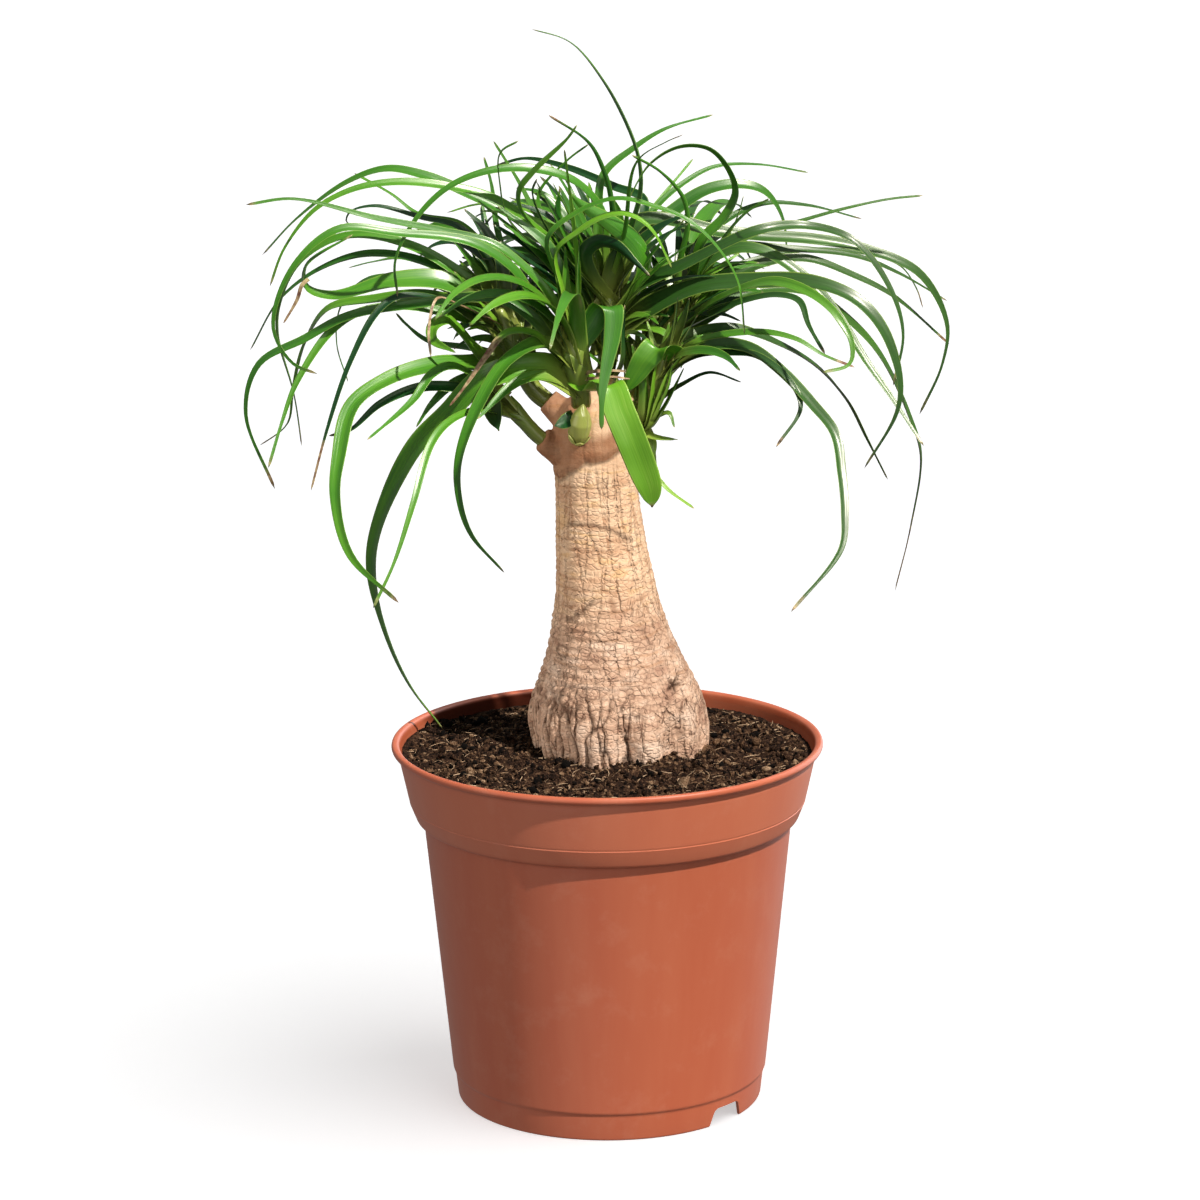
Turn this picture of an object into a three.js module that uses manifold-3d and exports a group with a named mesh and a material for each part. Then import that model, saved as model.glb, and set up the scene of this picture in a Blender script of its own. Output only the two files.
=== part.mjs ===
// A ponytail palm in a plastic nursery pot: pot, soil, swollen trunk, six leafy shoots and one bud.
// Millimetres, +Z up. The origin is on the pot's axis, in the plane that the foot ring stands on.
import * as THREE from "three";
import { mergeVertices } from "three/addons/utils/BufferGeometryUtils.js";
import Module from "manifold-3d";

const wasm = await Module();
wasm.setup();

const GAP = 0.3; // clearance between neighbouring pieces
const DEG = Math.PI / 180;

// ---- Driving sizes -------------------------------------------------------------------------

const RIM_RADIUS = 86;
const POT_HEIGHT = 147;
const POT_SIDES = 44;
const FOOT_RADIUS = 61.2;
const FOOT_WALL = 1.3;
const FLOOR_UNDERSIDE = 8;
const FLOOR_TOP = 9.6;

// Outside of the pot as [radius, height], from the foot ring up to the lip.
const POT_OUTSIDE = [
  [FOOT_RADIUS, 0],
  [62.4, 10.6],
  [63.2, 11.6],
  [73.5, 115.6],
  [76.4, 116.6],
  [79, 123.2],
  [82.8, 140.6],
  [83.2, 143.4],
  [85.4, 144.2],
  [RIM_RADIUS, 145.4],
  [85.6, 146.7],
  [84.6, POT_HEIGHT],
];
// Inside of the pot, from the lip down to the floor.
const POT_INSIDE = [
  [83, 146.5],
  [82, 144.4],
  [81.5, 140.8],
  [77.7, 123.8],
  [75.2, 117.8],
  [72.2, 115.4],
  [61.9, 12.6],
  [60, FLOOR_TOP],
];

const NOTCH_AZIMUTHS = [-41, 139]; // degrees from +X
const NOTCH_FOOT_WIDTH = 19.6;
const NOTCH_TOP_WIDTH = 14;
const NOTCH_HEIGHT = 7.2;
const DRAIN_HOLES = 8;
const DRAIN_HOLE_RADIUS = 4;
const DRAIN_CIRCLE_RADIUS = 46;

const SOIL_SIDES = 32;
const SOIL_EDGE_HEIGHT = 141.6;
const SOIL_MOUND = 3.4; // rise of the soil towards the trunk
const SOIL_MOUND_EDGE = 31; // radius where the rise begins to fall away
const SOIL_RINGS = [73, 64, 55, 46, 38, 28];
const SOIL_CRUMB = 0.55;

const TRUNK_SIDES = 32;
// The swollen trunk as [height, centre x, radius]: a root plate, the wide foot, the neck and the head.
const TRUNK_PROFILE = [
  [112, 6, 12],
  [120, 6, 24],
  [132, 6, 32],
  [142, 5.8, 34.8],
  [149.4, 5.2, 35.8],
  [155.5, 4.4, 36.3],
  [161, 4.2, 35.2],
  [166, 4.1, 33.4],
  [171, 3.9, 31.2],
  [182.8, 2.6, 26.1],
  [193, 1.5, 23.1],
  [203.6, 0.5, 20.6],
  [223, -1.5, 18.2],
  [243.6, -3.2, 16.3],
  [256, -4, 15.9],
  [262, -4.4, 15.9],
  [267, -4.4, 16.8],
  [273, -4.3, 16.4],
  [280, -4.2, 14.6],
  [285.6, -4, 11],
];
const TRUNK_TOP = [-4, 0, 289];
const RING_FIRST = 174;
const RING_LAST = 258;
const RING_PITCH = 8.4;
const RING_STEP = 0.4; // each leaf-scar ring stands this far in and out of the trunk
const RING_LIP = 0.6;
const TOE_AZIMUTHS = [-130, -85, -52, -18, 22, 66, 104, 150, 196]; // clefts between the toes
const TOE_CLEFT = 2.6;
const TOE_HALF_ANGLE = 9;
const TOE_TOP = 170;
const TOE_FULL = 150;

// Each shoot: its stub on the trunk as [[x, y, z], radius] twice, and its stem as the same, base to top.
const SHOOTS = {
  shoot_front: {
    stub: [[[-8, -6, 272], 7], [[-9.4, -10.4, 284], 5.4]],
    stem: [
      [[-9, -9, 281], 4.2],
      [[-9.6, -11.4, 291], 4],
      [[-11, -13, 300], 5],
      [[-12.4, -14, 308], 5.8],
      [[-13, -14.5, 315], 3],
    ],
  },
  shoot_left_low: {
    stub: [[[-13, -3, 262], 7], [[-24.5, -5, 269.8], 4.6]],
    stem: [
      [[-19, -4.2, 266], 3.8],
      [[-26, -5, 271], 4.1],
      [[-31, -5.5, 276.5], 4.4],
      [[-36, -6, 282.5], 5],
      [[-40, -7, 288], 3.4],
    ],
  },
  shoot_left_high: {
    stub: [[[-14, 3, 276], 6.4], [[-22.5, 4, 283.6], 4.9]],
    stem: [
      [[-18, 3.5, 280], 4],
      [[-26.6, 4.3, 286.6], 4.5],
      [[-31, 5, 293], 4.3],
      [[-35, 6, 303], 4.6],
      [[-39, 7, 313], 4.8],
      [[-41, 7.5, 319], 3],
    ],
  },
  shoot_right_low: {
    stub: [[[4, -3, 271], 7.4], [[12, -5, 277], 5.4]],
    stem: [
      [[8, -4, 274], 4.4],
      [[14.5, -6.5, 280], 5.2],
      [[18.5, -9, 289], 5.8],
      [[21.5, -10.5, 298], 5.2],
      [[23, -11, 304], 3],
    ],
  },
  shoot_right_high: {
    stub: [[[0, 2, 276], 7.4], [[8.5, 4.5, 286], 5.4]],
    stem: [
      [[5, 3, 281], 4.4],
      [[12, 6, 290], 5.2],
      [[20, 9, 301], 5.8],
      [[27, 11, 310], 6.2],
      [[31, 12, 318], 3.4],
    ],
  },
  shoot_crown: {
    stub: [[[-4, 4, 279], 6.4], [[-1, 7, 289.4], 4.6]],
    stem: [
      [[-2, 6, 284], 4],
      [[1, 9, 297], 3.6],
      [[2, 12, 308], 5],
      [[2, 14, 319], 6],
      [[2, 15, 329], 3.6],
    ],
  },
};
const STEM_SIDES = 8;

const BUD_SIDES = 8;
const BUD_STEM = [
  [[-10.4, -13.6, 267.4], 1.2],
  [[-10.2, -15.6, 270], 3.6],
  [[-9.8, -17, 274], 4.5],
  [[-9.2, -18, 279], 3.6],
  [[-8.5, -19, 284.4], 0.4],
];

// ---- Leaves --------------------------------------------------------------------------------

// A leaf's route is given square-on, as [x, z] against the plane y = 0, seen from this far in front and
// this high up. Its depth runs from its stem's to the tip depth, and each point lies on its line of sight.
// A third number sets a point's depth itself.
const VIEW_DISTANCE = 1705;
const VIEW_HEIGHT = 618;

const LEAF_FINE_STEPS = 48;
const LEAF_BASE_STEPS = 1.4; // stations on a leaf: this many, more for its length and for how far it turns
const LEAF_STEPS_PER_EFFORT = 2.4;
const LEAF_MOST_STEPS = 9;
const TURN_PER_EFFORT = 2.2; // radians of turning that count as much as the leaf's whole length
const LEAF_FACE = 45; // degrees that a blade turns its upper face to the front
const LEAF_FLARE = 0.6; // how much wider the clasping base is
const LEAF_FLARE_LENGTH = 0.07;
const LEAF_TAPER = 2.2;
const KEEL_SHARE = 0.3; // depth of the folded blade, as a share of its width
const KEEL_MIN = 0.8;
const KEEL_MAX = 1.6;

// Leaves of different shoots never touch: a leaf that would is bent nearer or further, in this order.
const BEND_STEP = 5;
const BEND_SLIDES = 7;
const BEND_BOWS = 5;
const LEAF_CLEARANCE = 0.5;
const NEIGHBOUR_RANGE = 60; // leaves further apart than this at their stations are not compared

// [shoot, share of the stem's height, width, tip depth, route, options]
const LEAVES = [
  // front shoot
  ["shoot_front", 0.35, 9, 26, [[-26, 298, -18], [-47, 293.5, -23], [-61.7, 279.5, -21], [-75, 266, -17],
    [-89.8, 235.6, -6], [-92.8, 216.8, 2], [-88, 192, 11], [-78.5, 169.5, 19], [-65, 150.6, 26]]],
  ["shoot_front", 0.55, 5.6, -62, [[-24, 307.7], [-36.8, 301], [-48.6, 283], [-57, 261], [-57, 246],
    [-52.5, 231], [-39.6, 215]]],
  ["shoot_front", 0.25, 5, -36, [[-21, 294], [-29, 294], [-37, 290], [-50, 277]]],
  ["shoot_front", 0.38, 11.5, 0, [[-4, 289.8, -21], [1.5, 289.8, -27], [5.4, 277.8, -31], [9.9, 267.8, -32],
    [13.8, 257.8, -31], [17, 249.8, -30], [18.6, 242.8, -28]], { held: true, flare: 0, taper: 5 }],
  ["shoot_front", 0.75, 8.6, 0, [[-7, 315, -14], [-2, 321.5, -15], [1, 320, -21], [-0.5, 309.6, -24],
    [-1.4, 298, -25], [-1.3, 287, -25], [1, 279, -25]], { held: true, flare: 0, taper: 1.6 }],
  ["shoot_front", 0.6, 3.8, -14, [[-24, 313.5], [-34, 322], [-44, 325.5], [-71, 323.3], [-99.5, 318.5],
    [-117, 309.5], [-135, 299.6], [-140.6, 280], [-129.9, 249.5]]],
  ["shoot_front", 0.8, 3, -20, [[-21, 326], [-32, 338.5], [-43, 346.5], [-62, 351.5], [-89, 357],
    [-120, 364.4], [-138.5, 362.2]]],
  ["shoot_front", 0.7, 3.8, -48, [[-28, 326], [-35, 336.5], [-51, 347], [-80, 351], [-103, 352.5],
    [-121.3, 337], [-129, 314], [-122, 300], [-112, 295.4]]],
  ["shoot_front", 0.45, 3.4, -34, [[-20, 304], [-27, 311], [-38, 311.5], [-47, 301], [-54, 291],
    [-61, 282]]],
  ["shoot_front", 0.9, 2.2, -14, [[-10, 330], [-11.5, 352], [-15, 383]]],
  ["shoot_front", 0.85, 5, -10, [[-15, 325], [-17.5, 337], [-22, 346], [-30, 353], [-41, 361]]],
  ["shoot_front", 0.9, 4.6, -14, [[-14.5, 322], [-14.8, 333], [-15, 345]]],
  ["shoot_front", 0.85, 4.2, -17, [[-11, 322], [-10.6, 334], [-9.5, 348]]],
  ["shoot_front", 0.8, 5, -26, [[-17, 328], [-19, 343], [-10, 351], [-1, 356.4], [7.2, 358], [13.7, 355.7],
    [19.4, 350.5], [26.5, 336]]],
  ["shoot_front", 0.95, 2.4, -30, [[-17, 330], [-22, 348], [-10.6, 358.3], [5, 363.8], [21, 360.2],
    [33, 355], [43.5, 345.2], [52, 331], [54.7, 309.5]]],
  // left-hand low shoot
  ["shoot_left_low", 0.7, 4.6, -30, [[-44, 286], [-52.6, 289], [-71.7, 290], [-88, 283.4], [-100, 273],
    [-108.4, 270.7]]],
  ["shoot_left_low", 0.9, 3.8, -56, [[-50, 294], [-60, 298.5], [-67.7, 295], [-75, 285], [-93.3, 269]]],
  ["shoot_left_low", 0.6, 3, -76, [[-48, 281], [-60, 277], [-68, 268], [-75.5, 244], [-83.6, 219.6],
    [-92.3, 201]]],
  ["shoot_left_low", 0.8, 6.4, -24, [[-42, 288], [-44.5, 286], [-43.9, 280.5], [-41.5, 272]]],
  ["shoot_left_low", 0.9, 4.6, -48, [[-46, 294], [-58, 292], [-68, 283], [-74, 274]]],
  // left-hand high shoot
  ["shoot_left_high", 0.6, 6.6, -96, [[-46, 302], [-65, 301.8], [-85, 295.5], [-98.5, 283.7],
    [-104.2, 262.6], [-105.9, 246], [-99.5, 224], [-80.8, 204]]],
  ["shoot_left_high", 0.9, 3.6, 24, [[-50, 330], [-75, 346], [-100, 350], [-117.8, 340.4],
    [-126.3, 324], [-127.5, 311.4], [-121.7, 287.7], [-119, 266.5]]],
  ["shoot_left_high", 0.85, 3.6, 22, [[-46, 322], [-66, 338], [-90, 343], [-109, 337.8],
    [-126, 325.4], [-138.3, 305]]],
  ["shoot_left_high", 0.8, 7, -10, [[-44, 318], [-60, 330], [-81, 331], [-107, 325.5], [-115, 330],
    [-113.5, 338.5], [-97, 348.5]]],
  ["shoot_left_high", 0.75, 5.6, 58, [[-46, 318], [-70, 326], [-91, 325], [-108, 321.4], [-117, 309],
    [-122, 290], [-124.5, 276], [-135.7, 267]]],
  ["shoot_left_high", 0.7, 3.6, -36, [[-45, 314], [-75, 322], [-95, 320], [-107, 312], [-120.5, 292],
    [-126.5, 276.4], [-132.3, 258]]],
  ["shoot_left_high", 0.75, 3, -62, [[-46, 314], [-65, 325], [-80, 326], [-88.4, 320],
    [-99.6, 299.6], [-109, 273], [-115.8, 248.7]]],
  ["shoot_left_high", 0.85, 2.4, 80, [[-46, 320], [-70, 332], [-92, 333], [-102.8, 322],
    [-104.5, 307.5], [-100.3, 292]]],
  ["shoot_left_high", 0.5, 2.8, 46, [[-50, 305], [-69, 308.5], [-77.3, 315], [-81.2, 319.4]]],
  ["shoot_left_high", 0.8, 2, -40, [[-55, 322], [-65, 325], [-68.4, 313], [-67.8, 302]]],
  ["shoot_left_high", 0.5, 5.2, -18, [[-47, 302], [-56.5, 313], [-61.6, 317], [-66.8, 314],
    [-67, 309], [-58, 303.5]]],
  ["shoot_left_high", 0.9, 2.8, 66, [[-60, 335], [-78, 341], [-90.4, 339.5], [-99.3, 337.3]]],
  ["shoot_left_high", 0.95, 2.2, 36, [[-44, 340], [-55, 354], [-72, 358.4], [-82, 366], [-96.3, 374.2]]],
  ["shoot_left_high", 0.9, 3, 6, [[-45, 340], [-56, 353], [-70, 356.7], [-88.6, 361.5], [-98.3, 359],
    [-99.6, 355], [-94, 354]]],
  ["shoot_left_high", 0.95, 2.6, 30, [[-39, 340], [-41.7, 354.5], [-43.2, 369], [-46.1, 380.3]]],
  // crown shoot
  ["shoot_crown", 0.8, 4.8, 30, [[-5, 328], [-15, 340], [-33, 356], [-52, 366], [-70, 373.6],
    [-84, 376], [-99, 371], [-119, 356.7], [-132.7, 342.4]]],
  ["shoot_crown", 0.75, 4.2, -14, [[-8, 332], [-22, 349], [-42, 364], [-60, 369], [-80, 370.8],
    [-97, 368], [-112, 360], [-124, 345], [-130, 330]]],
  ["shoot_crown", 0.9, 4.6, -26, [[1, 342], [0, 358], [-10, 370], [-25, 375.3], [-42.5, 375.2],
    [-59.3, 369], [-72.4, 356.7], [-81, 340], [-80.3, 325.5]]],
  ["shoot_crown", 0.9, 3.4, 55, [[10, 342], [15.5, 363], [4, 368.4], [-14, 376], [-30, 379.5],
    [-42, 376.5]]],
  ["shoot_crown", 0.95, 2.4, 12, [[8, 345], [14.1, 365.8], [13.6, 378.6], [9.2, 392], [0, 409.3],
    [-12.4, 424], [-27.2, 429.2]]],
  ["shoot_crown", 0.95, 2, -14, [[4, 345], [2.9, 364], [0, 375], [-5.6, 385.5], [-21, 396.2]]],
  ["shoot_crown", 0.85, 5.6, -22, [[-14, 342], [-31, 359], [-32.5, 367], [-26.8, 374.7],
    [-14, 386.8], [-9.8, 392.5]], { taper: 3 }],
  ["shoot_crown", 0.9, 2.4, 18, [[-12, 340], [-25, 356], [-33, 371], [-42.3, 386.3]]],
  ["shoot_crown", 0.85, 2, -20, [[-16, 338], [-36, 355], [-39.9, 370], [-39.7, 381.7], [-32.4, 386.4]]],
  ["shoot_crown", 0.9, 1.9, 24, [[-10, 340], [-24, 358], [-24.9, 366], [-14, 378.5], [-5.3, 385]]],
  ["shoot_crown", 0.7, 4, -20, [[0, 324], [-10.5, 336], [-19.8, 349.2], [-26.2, 361.4],
    [-27.4, 367.2], [-25.5, 371.7]]],
  ["shoot_crown", 0.95, 5, 12, [[-11, 340], [-17.5, 356], [-17, 368]], { taper: 6 }],
  ["shoot_crown", 0.95, 3, 34, [[-2, 345], [-2, 358], [0, 372.9], [11.8, 383.3], [24, 390.6],
    [42.6, 395.9]]],
  ["shoot_crown", 0.9, 1.8, -36, [[8, 350], [13, 378], [24.5, 385.7], [31, 388.4]]],
  ["shoot_crown", 0.9, 2.4, 62, [[11, 345], [20.5, 360.5], [31, 369.6], [42.6, 375.7], [59.3, 376.6],
    [79.4, 373.2]]],
  ["shoot_crown", 0.85, 5.6, 42, [[11, 343], [26, 358], [39.7, 366.9], [53, 369], [62.6, 366],
    [69.6, 355], [71.2, 335]]],
  ["shoot_crown", 0.9, 2.2, 50, [[11, 348], [21.3, 362.5], [34.7, 378.9]]],
  ["shoot_crown", 0.8, 5.4, 44, [[5, 340], [14, 355], [28, 355], [41, 351.5], [60, 349], [80, 347.5],
    [100, 343.8], [122.4, 333.8], [133.4, 314], [131.8, 297.6], [123, 277.5]]],
  ["shoot_crown", 0.65, 4.2, -8, [[11.4, 328.6, 6], [31, 338, -1], [59, 350.8, -5], [78.6, 352.7], [96.6, 347],
    [110.6, 329], [116.4, 310], [112.6, 289]]],
  ["shoot_crown", 0.6, 8.6, -12, [[12, 328], [15.5, 338], [11.5, 346.7], [2, 354.5], [-8, 361],
    [-14, 366.6]], { taper: 3 }],
  ["shoot_crown", 0.5, 7.6, -26, [[17.8, 321.5], [37, 329.5], [59, 331.3], [81.6, 330.5],
    [97.7, 324], [108.8, 311.6], [115.4, 291], [114.2, 278.5], [101.5, 256]]],
  ["shoot_crown", 0.5, 3.4, -2, [[10, 313], [21, 312], [25.6, 309], [30.4, 300.3], [29.7, 296.4]]],
  ["shoot_crown", 0.8, 9, 6, [[3.4, 334], [5, 346]], { taper: 3 }],
  ["shoot_crown", 0.75, 6.6, -8, [[-6, 336], [-7, 343], [-2, 347], [5, 345.5], [12, 339], [18, 333]]],
  // right-hand high shoot
  ["shoot_right_high", 0.9, 3.6, 6, [[34, 332], [38, 347], [46.4, 356], [51, 365.5], [48.3, 374.6],
    [41, 382.5], [29.7, 383.5], [18, 376.8], [9, 362]]],
  ["shoot_right_high", 0.85, 3.2, 46, [[31, 330], [37, 346], [46.4, 354.5], [61.2, 361.2],
    [78.6, 360.6], [100.2, 355]]],
  ["shoot_right_high", 0.9, 2, 22, [[40, 338], [60, 350], [74.7, 354], [91.6, 358.7], [110, 362.6],
    [123.7, 364]]],
  ["shoot_right_high", 0.9, 2, -22, [[29, 336], [32.5, 352.8], [30.8, 363.8], [22, 374], [11, 380.5]]],
  ["shoot_right_high", 0.9, 1.8, 12, [[41, 336], [51.5, 355.5], [54.2, 364.6]]],
  ["shoot_right_high", 0.9, 2.2, -14, [[38, 335], [45.6, 347], [54.7, 357.4], [64.2, 363.2]]],
  ["shoot_right_high", 0.8, 3.8, 56, [[36, 334], [46, 344], [71, 343.7], [98, 340.6], [114, 334],
    [133.7, 322.5]]],
  ["shoot_right_high", 0.7, 3.8, 40, [[38, 322], [51.4, 333.7], [66.8, 339.4], [79.6, 339.7],
    [96.4, 333.4], [112.3, 325], [134.6, 305.4]]],
  ["shoot_right_high", 0.75, 2.4, 74, [[42, 332], [70, 342], [95, 342.5], [114.7, 336.8],
    [121.5, 327.6], [124.2, 319.5]]],
  ["shoot_right_high", 0.75, 5.4, -40, [[33, 330], [41, 340], [52, 344.3], [62.6, 342.7], [76, 334],
    [89, 320], [102.3, 299], [112.6, 284], [125, 265]]],
  ["shoot_right_high", 0.6, 4.8, 84, [[40, 312], [60, 319], [80, 319], [94.6, 313.7], [107.5, 301],
    [119, 276], [123, 260.6], [118.6, 233], [113, 205.5]]],
  ["shoot_right_high", 0.7, 4.2, -52, [[36, 316], [45, 320], [56, 324], [68, 325.6], [76, 323],
    [79.6, 313.5], [86, 302]]],
  ["shoot_right_high", 0.75, 3.8, -66, [[45, 325], [65.5, 331], [79.6, 326], [89, 317.5],
    [95.2, 306], [94.8, 298], [84.7, 294.8]]],
  ["shoot_right_high", 0.8, 8.6, 30, [[32, 324, 18], [35, 335, 24], [44, 346, 32]], { taper: 3 }],
  ["shoot_right_high", 0.75, 8, -14, [[35, 318], [43, 325], [52, 328.5], [62, 326.5]], { taper: 3 }],
  // right-hand low shoot
  ["shoot_right_low", 0.85, 10.5, 0, [[26, 303, -14], [20.5, 305, -19], [16, 300.5, -20],
    [12.5, 295, -19], [7.7, 286.8, -17]], { held: true, flare: 0, taper: 4 }],
  ["shoot_right_low", 0.8, 3.8, 34, [[33, 309], [50.3, 312.5], [67.2, 307], [82.8, 297.7],
    [94.5, 284.5], [102.3, 269], [111, 251.5]]],
  ["shoot_right_low", 0.85, 2.8, -30, [[38, 308], [61, 311], [75, 308], [85.4, 301.7], [97.7, 296.6]]],
  ["shoot_right_low", 0.75, 4.4, -96, [[41, 308], [56.8, 307], [69.8, 297], [81.5, 284], [90.5, 271],
    [92.8, 255], [94, 238.5], [91.6, 225], [72.3, 199.7]]],
  ["shoot_right_low", 0.7, 3.2, -52, [[37, 302.4], [50, 303], [59.4, 301.7], [71.7, 292.4],
    [76.6, 281], [67, 265]]],
  ["shoot_right_low", 0.2, 2.6, -22, [[24, 286.4], [30, 290.3], [41, 295], [53.4, 291]]],
  ["shoot_right_low", 0.12, 2.2, -22, [[18.6, 268], [18.2, 257.6], [24, 249], [35, 240.5]]],
  ["shoot_right_low", 0.12, 2.8, -18, [[18, 270], [28.7, 268.3]], { taper: 6 }],
  ["shoot_right_low", 0.15, 2.6, -14, [[19.8, 277.6], [25, 279], [27.2, 273]]],
  ["shoot_right_low", 0.7, 4.8, -40, [[28, 300], [38, 299], [46, 292], [50, 284]]],
];

// Leaves at the back and inside the head, drawn by a seeded rule: [shoot, how many, headings in degrees].
const FILLERS = [
  ["shoot_crown", 15, 30, 150],
  ["shoot_right_high", 9, 0, 100],
  ["shoot_left_high", 8, 70, 190],
  ["shoot_front", 4, 190, 290],
];
const FILLER_SEED = 20407;
const FILLER_TRIES = 400;
const FILLER_LENGTH = [70, 168];
const FILLER_WIDTH = [3.2, 7];
const FILLER_RISE = [52, 82]; // elevation where the leaf leaves its stem
const FILLER_FALL = [-78, -30]; // elevation at its tip
const FILLER_SWAY = 34; // most that its heading turns along its length
const FILLER_STEPS = 6;
const REACH = 96; // furthest that a drawn leaf runs forward or back
// The dense part of the head, as an ellipse in the front view: centre x, centre z, half width, half height.
const HEAD = [0, 334, 80, 37];

// ---- Solids --------------------------------------------------------------------------------

// Turns a closed geometry into a solid that can be joined and cut.
function toSolid(geometry) {
  const bare = new THREE.BufferGeometry();
  const loose = geometry.index ? geometry.toNonIndexed() : geometry;
  bare.setAttribute("position", loose.getAttribute("position").clone());
  const merged = mergeVertices(bare, 1e-4);
  const corners = merged.index.array;
  const kept = [];
  for (let i = 0; i < corners.length; i += 3) {
    const [a, b, c] = [corners[i], corners[i + 1], corners[i + 2]];
    if (a !== b && b !== c && c !== a) kept.push(a, b, c);
  }
  const mesh = new wasm.Mesh({
    numProp: 3,
    vertProperties: Float32Array.from(merged.getAttribute("position").array),
    triVerts: Uint32Array.from(kept),
  });
  return new wasm.Manifold(mesh);
}

function toGeometry(solid) {
  const { numProp, vertProperties, triVerts } = solid.getMesh();
  const positions = [];
  for (let i = 0; i < vertProperties.length; i += numProp) {
    positions.push(vertProperties[i], vertProperties[i + 1], vertProperties[i + 2]);
  }
  const geometry = new THREE.BufferGeometry();
  geometry.setAttribute("position", new THREE.Float32BufferAttribute(positions, 3));
  geometry.setIndex(Array.from(triVerts));
  geometry.computeVertexNormals();
  return geometry;
}

function joined(solids) {
  return solids.reduce((all, solid) => all.add(solid));
}

function largest(solid) {
  return solid.decompose().reduce((best, piece) => (piece.volume() > best.volume() ? piece : best));
}

// Skins a row of rings, each counter-clockwise about the direction of travel. An end may be one point.
function loft(rings) {
  const positions = [];
  const triangle = (a, b, c) => [a, b, c].forEach((p) => positions.push(p.x, p.y, p.z));
  const centre = (ring) => ring.reduce((sum, p) => sum.add(p), new THREE.Vector3()).divideScalar(ring.length);
  for (let k = 0; k + 1 < rings.length; k++) {
    const [low, high] = [rings[k], rings[k + 1]];
    const count = Math.max(low.length, high.length);
    for (let i = 0; i < count; i++) {
      const j = (i + 1) % count;
      if (low.length > 1) triangle(low[i], low[j], high[j % high.length]);
      if (high.length > 1) triangle(low[i % low.length], high[j], high[i]);
    }
  }
  const [first, last] = [rings[0], rings.at(-1)];
  if (first.length > 1) {
    const middle = centre(first);
    first.forEach((p, i) => triangle(middle, first[(i + 1) % first.length], p));
  }
  if (last.length > 1) {
    const middle = centre(last);
    last.forEach((p, i) => triangle(middle, p, last[(i + 1) % last.length]));
  }
  return new THREE.BufferGeometry().setAttribute("position", new THREE.Float32BufferAttribute(positions, 3));
}

// A round tapering tube through [[x, y, z], radius] points.
function taperedTube(points, sides, grow = 0) {
  const centres = points.map(([p]) => new THREE.Vector3(...p));
  const rings = points.map(([, radius], k) => {
    const before = centres[Math.max(k - 1, 0)];
    const after = centres[Math.min(k + 1, centres.length - 1)];
    const along = after.clone().sub(before).normalize();
    const side = new THREE.Vector3(0, 1, 0).addScaledVector(along, -along.y).normalize();
    const rise = along.clone().cross(side);
    return Array.from({ length: sides }, (_, i) => {
      const turn = (2 * Math.PI * i) / sides;
      return centres[k]
        .clone()
        .addScaledVector(side, (radius + grow) * Math.cos(turn))
        .addScaledVector(rise, (radius + grow) * Math.sin(turn));
    });
  });
  return toSolid(loft(rings));
}

// Value of a [height, ...values] table at a height, straight between its rows.
function tableAt(table, height, column) {
  const above = table.findIndex((row) => row[0] >= height);
  if (above < 0) return table.at(-1)[column];
  if (above === 0) return table[0][column];
  const [low, high] = [table[above - 1], table[above]];
  return low[column] + ((height - low[0]) / (high[0] - low[0])) * (high[column] - low[column]);
}

function smoothStep(from, to, value) {
  const t = Math.min(Math.max((value - from) / (to - from), 0), 1);
  return t * t * (3 - 2 * t);
}

// ---- Pot -----------------------------------------------------------------------------------

function lathed(profile) {
  const points = profile.map(([radius, height]) => new THREE.Vector2(radius, height));
  return new THREE.LatheGeometry(points, POT_SIDES).rotateX(Math.PI / 2);
}

function notchCutter(azimuth) {
  const shape = new THREE.Shape();
  const corner = 2; // size of the cut-off corners
  shape.moveTo(-NOTCH_FOOT_WIDTH / 2, -1);
  shape.lineTo(NOTCH_FOOT_WIDTH / 2, -1);
  shape.lineTo(NOTCH_TOP_WIDTH / 2 + corner / 2, NOTCH_HEIGHT - corner);
  shape.lineTo(NOTCH_TOP_WIDTH / 2 - corner / 2, NOTCH_HEIGHT);
  shape.lineTo(-NOTCH_TOP_WIDTH / 2 + corner / 2, NOTCH_HEIGHT);
  shape.lineTo(-NOTCH_TOP_WIDTH / 2 - corner / 2, NOTCH_HEIGHT - corner);
  shape.closePath();
  const depth = 10;
  const cutter = new THREE.ExtrudeGeometry(shape, { depth, bevelEnabled: false });
  cutter.rotateX(Math.PI / 2);
  cutter.translate(0, -FOOT_RADIUS + depth / 2 + 2, 0);
  return toSolid(cutter.rotateZ((azimuth + 90) * DEG));
}

function drainCutter(index) {
  const height = 4;
  const cutter = new THREE.CylinderGeometry(DRAIN_HOLE_RADIUS, DRAIN_HOLE_RADIUS, height, 10);
  cutter.rotateX(Math.PI / 2).translate(DRAIN_CIRCLE_RADIUS, 0, (FLOOR_UNDERSIDE + FLOOR_TOP) / 2);
  return toSolid(cutter.rotateZ((2 * Math.PI * (index + 0.5)) / DRAIN_HOLES));
}

function potSolid() {
  const underside = [
    [0, FLOOR_UNDERSIDE],
    [FOOT_RADIUS - FOOT_WALL + 0.8, FLOOR_UNDERSIDE],
    [FOOT_RADIUS - FOOT_WALL, 0],
  ];
  let pot = toSolid(lathed([...underside, ...POT_OUTSIDE, ...POT_INSIDE, [0, FLOOR_TOP]]));
  for (const azimuth of NOTCH_AZIMUTHS) {
    pot = pot.subtract(notchCutter(azimuth));
  }
  for (let i = 0; i < DRAIN_HOLES; i++) {
    pot = pot.subtract(drainCutter(i));
  }
  return pot;
}

// ---- Trunk ---------------------------------------------------------------------------------

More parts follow.
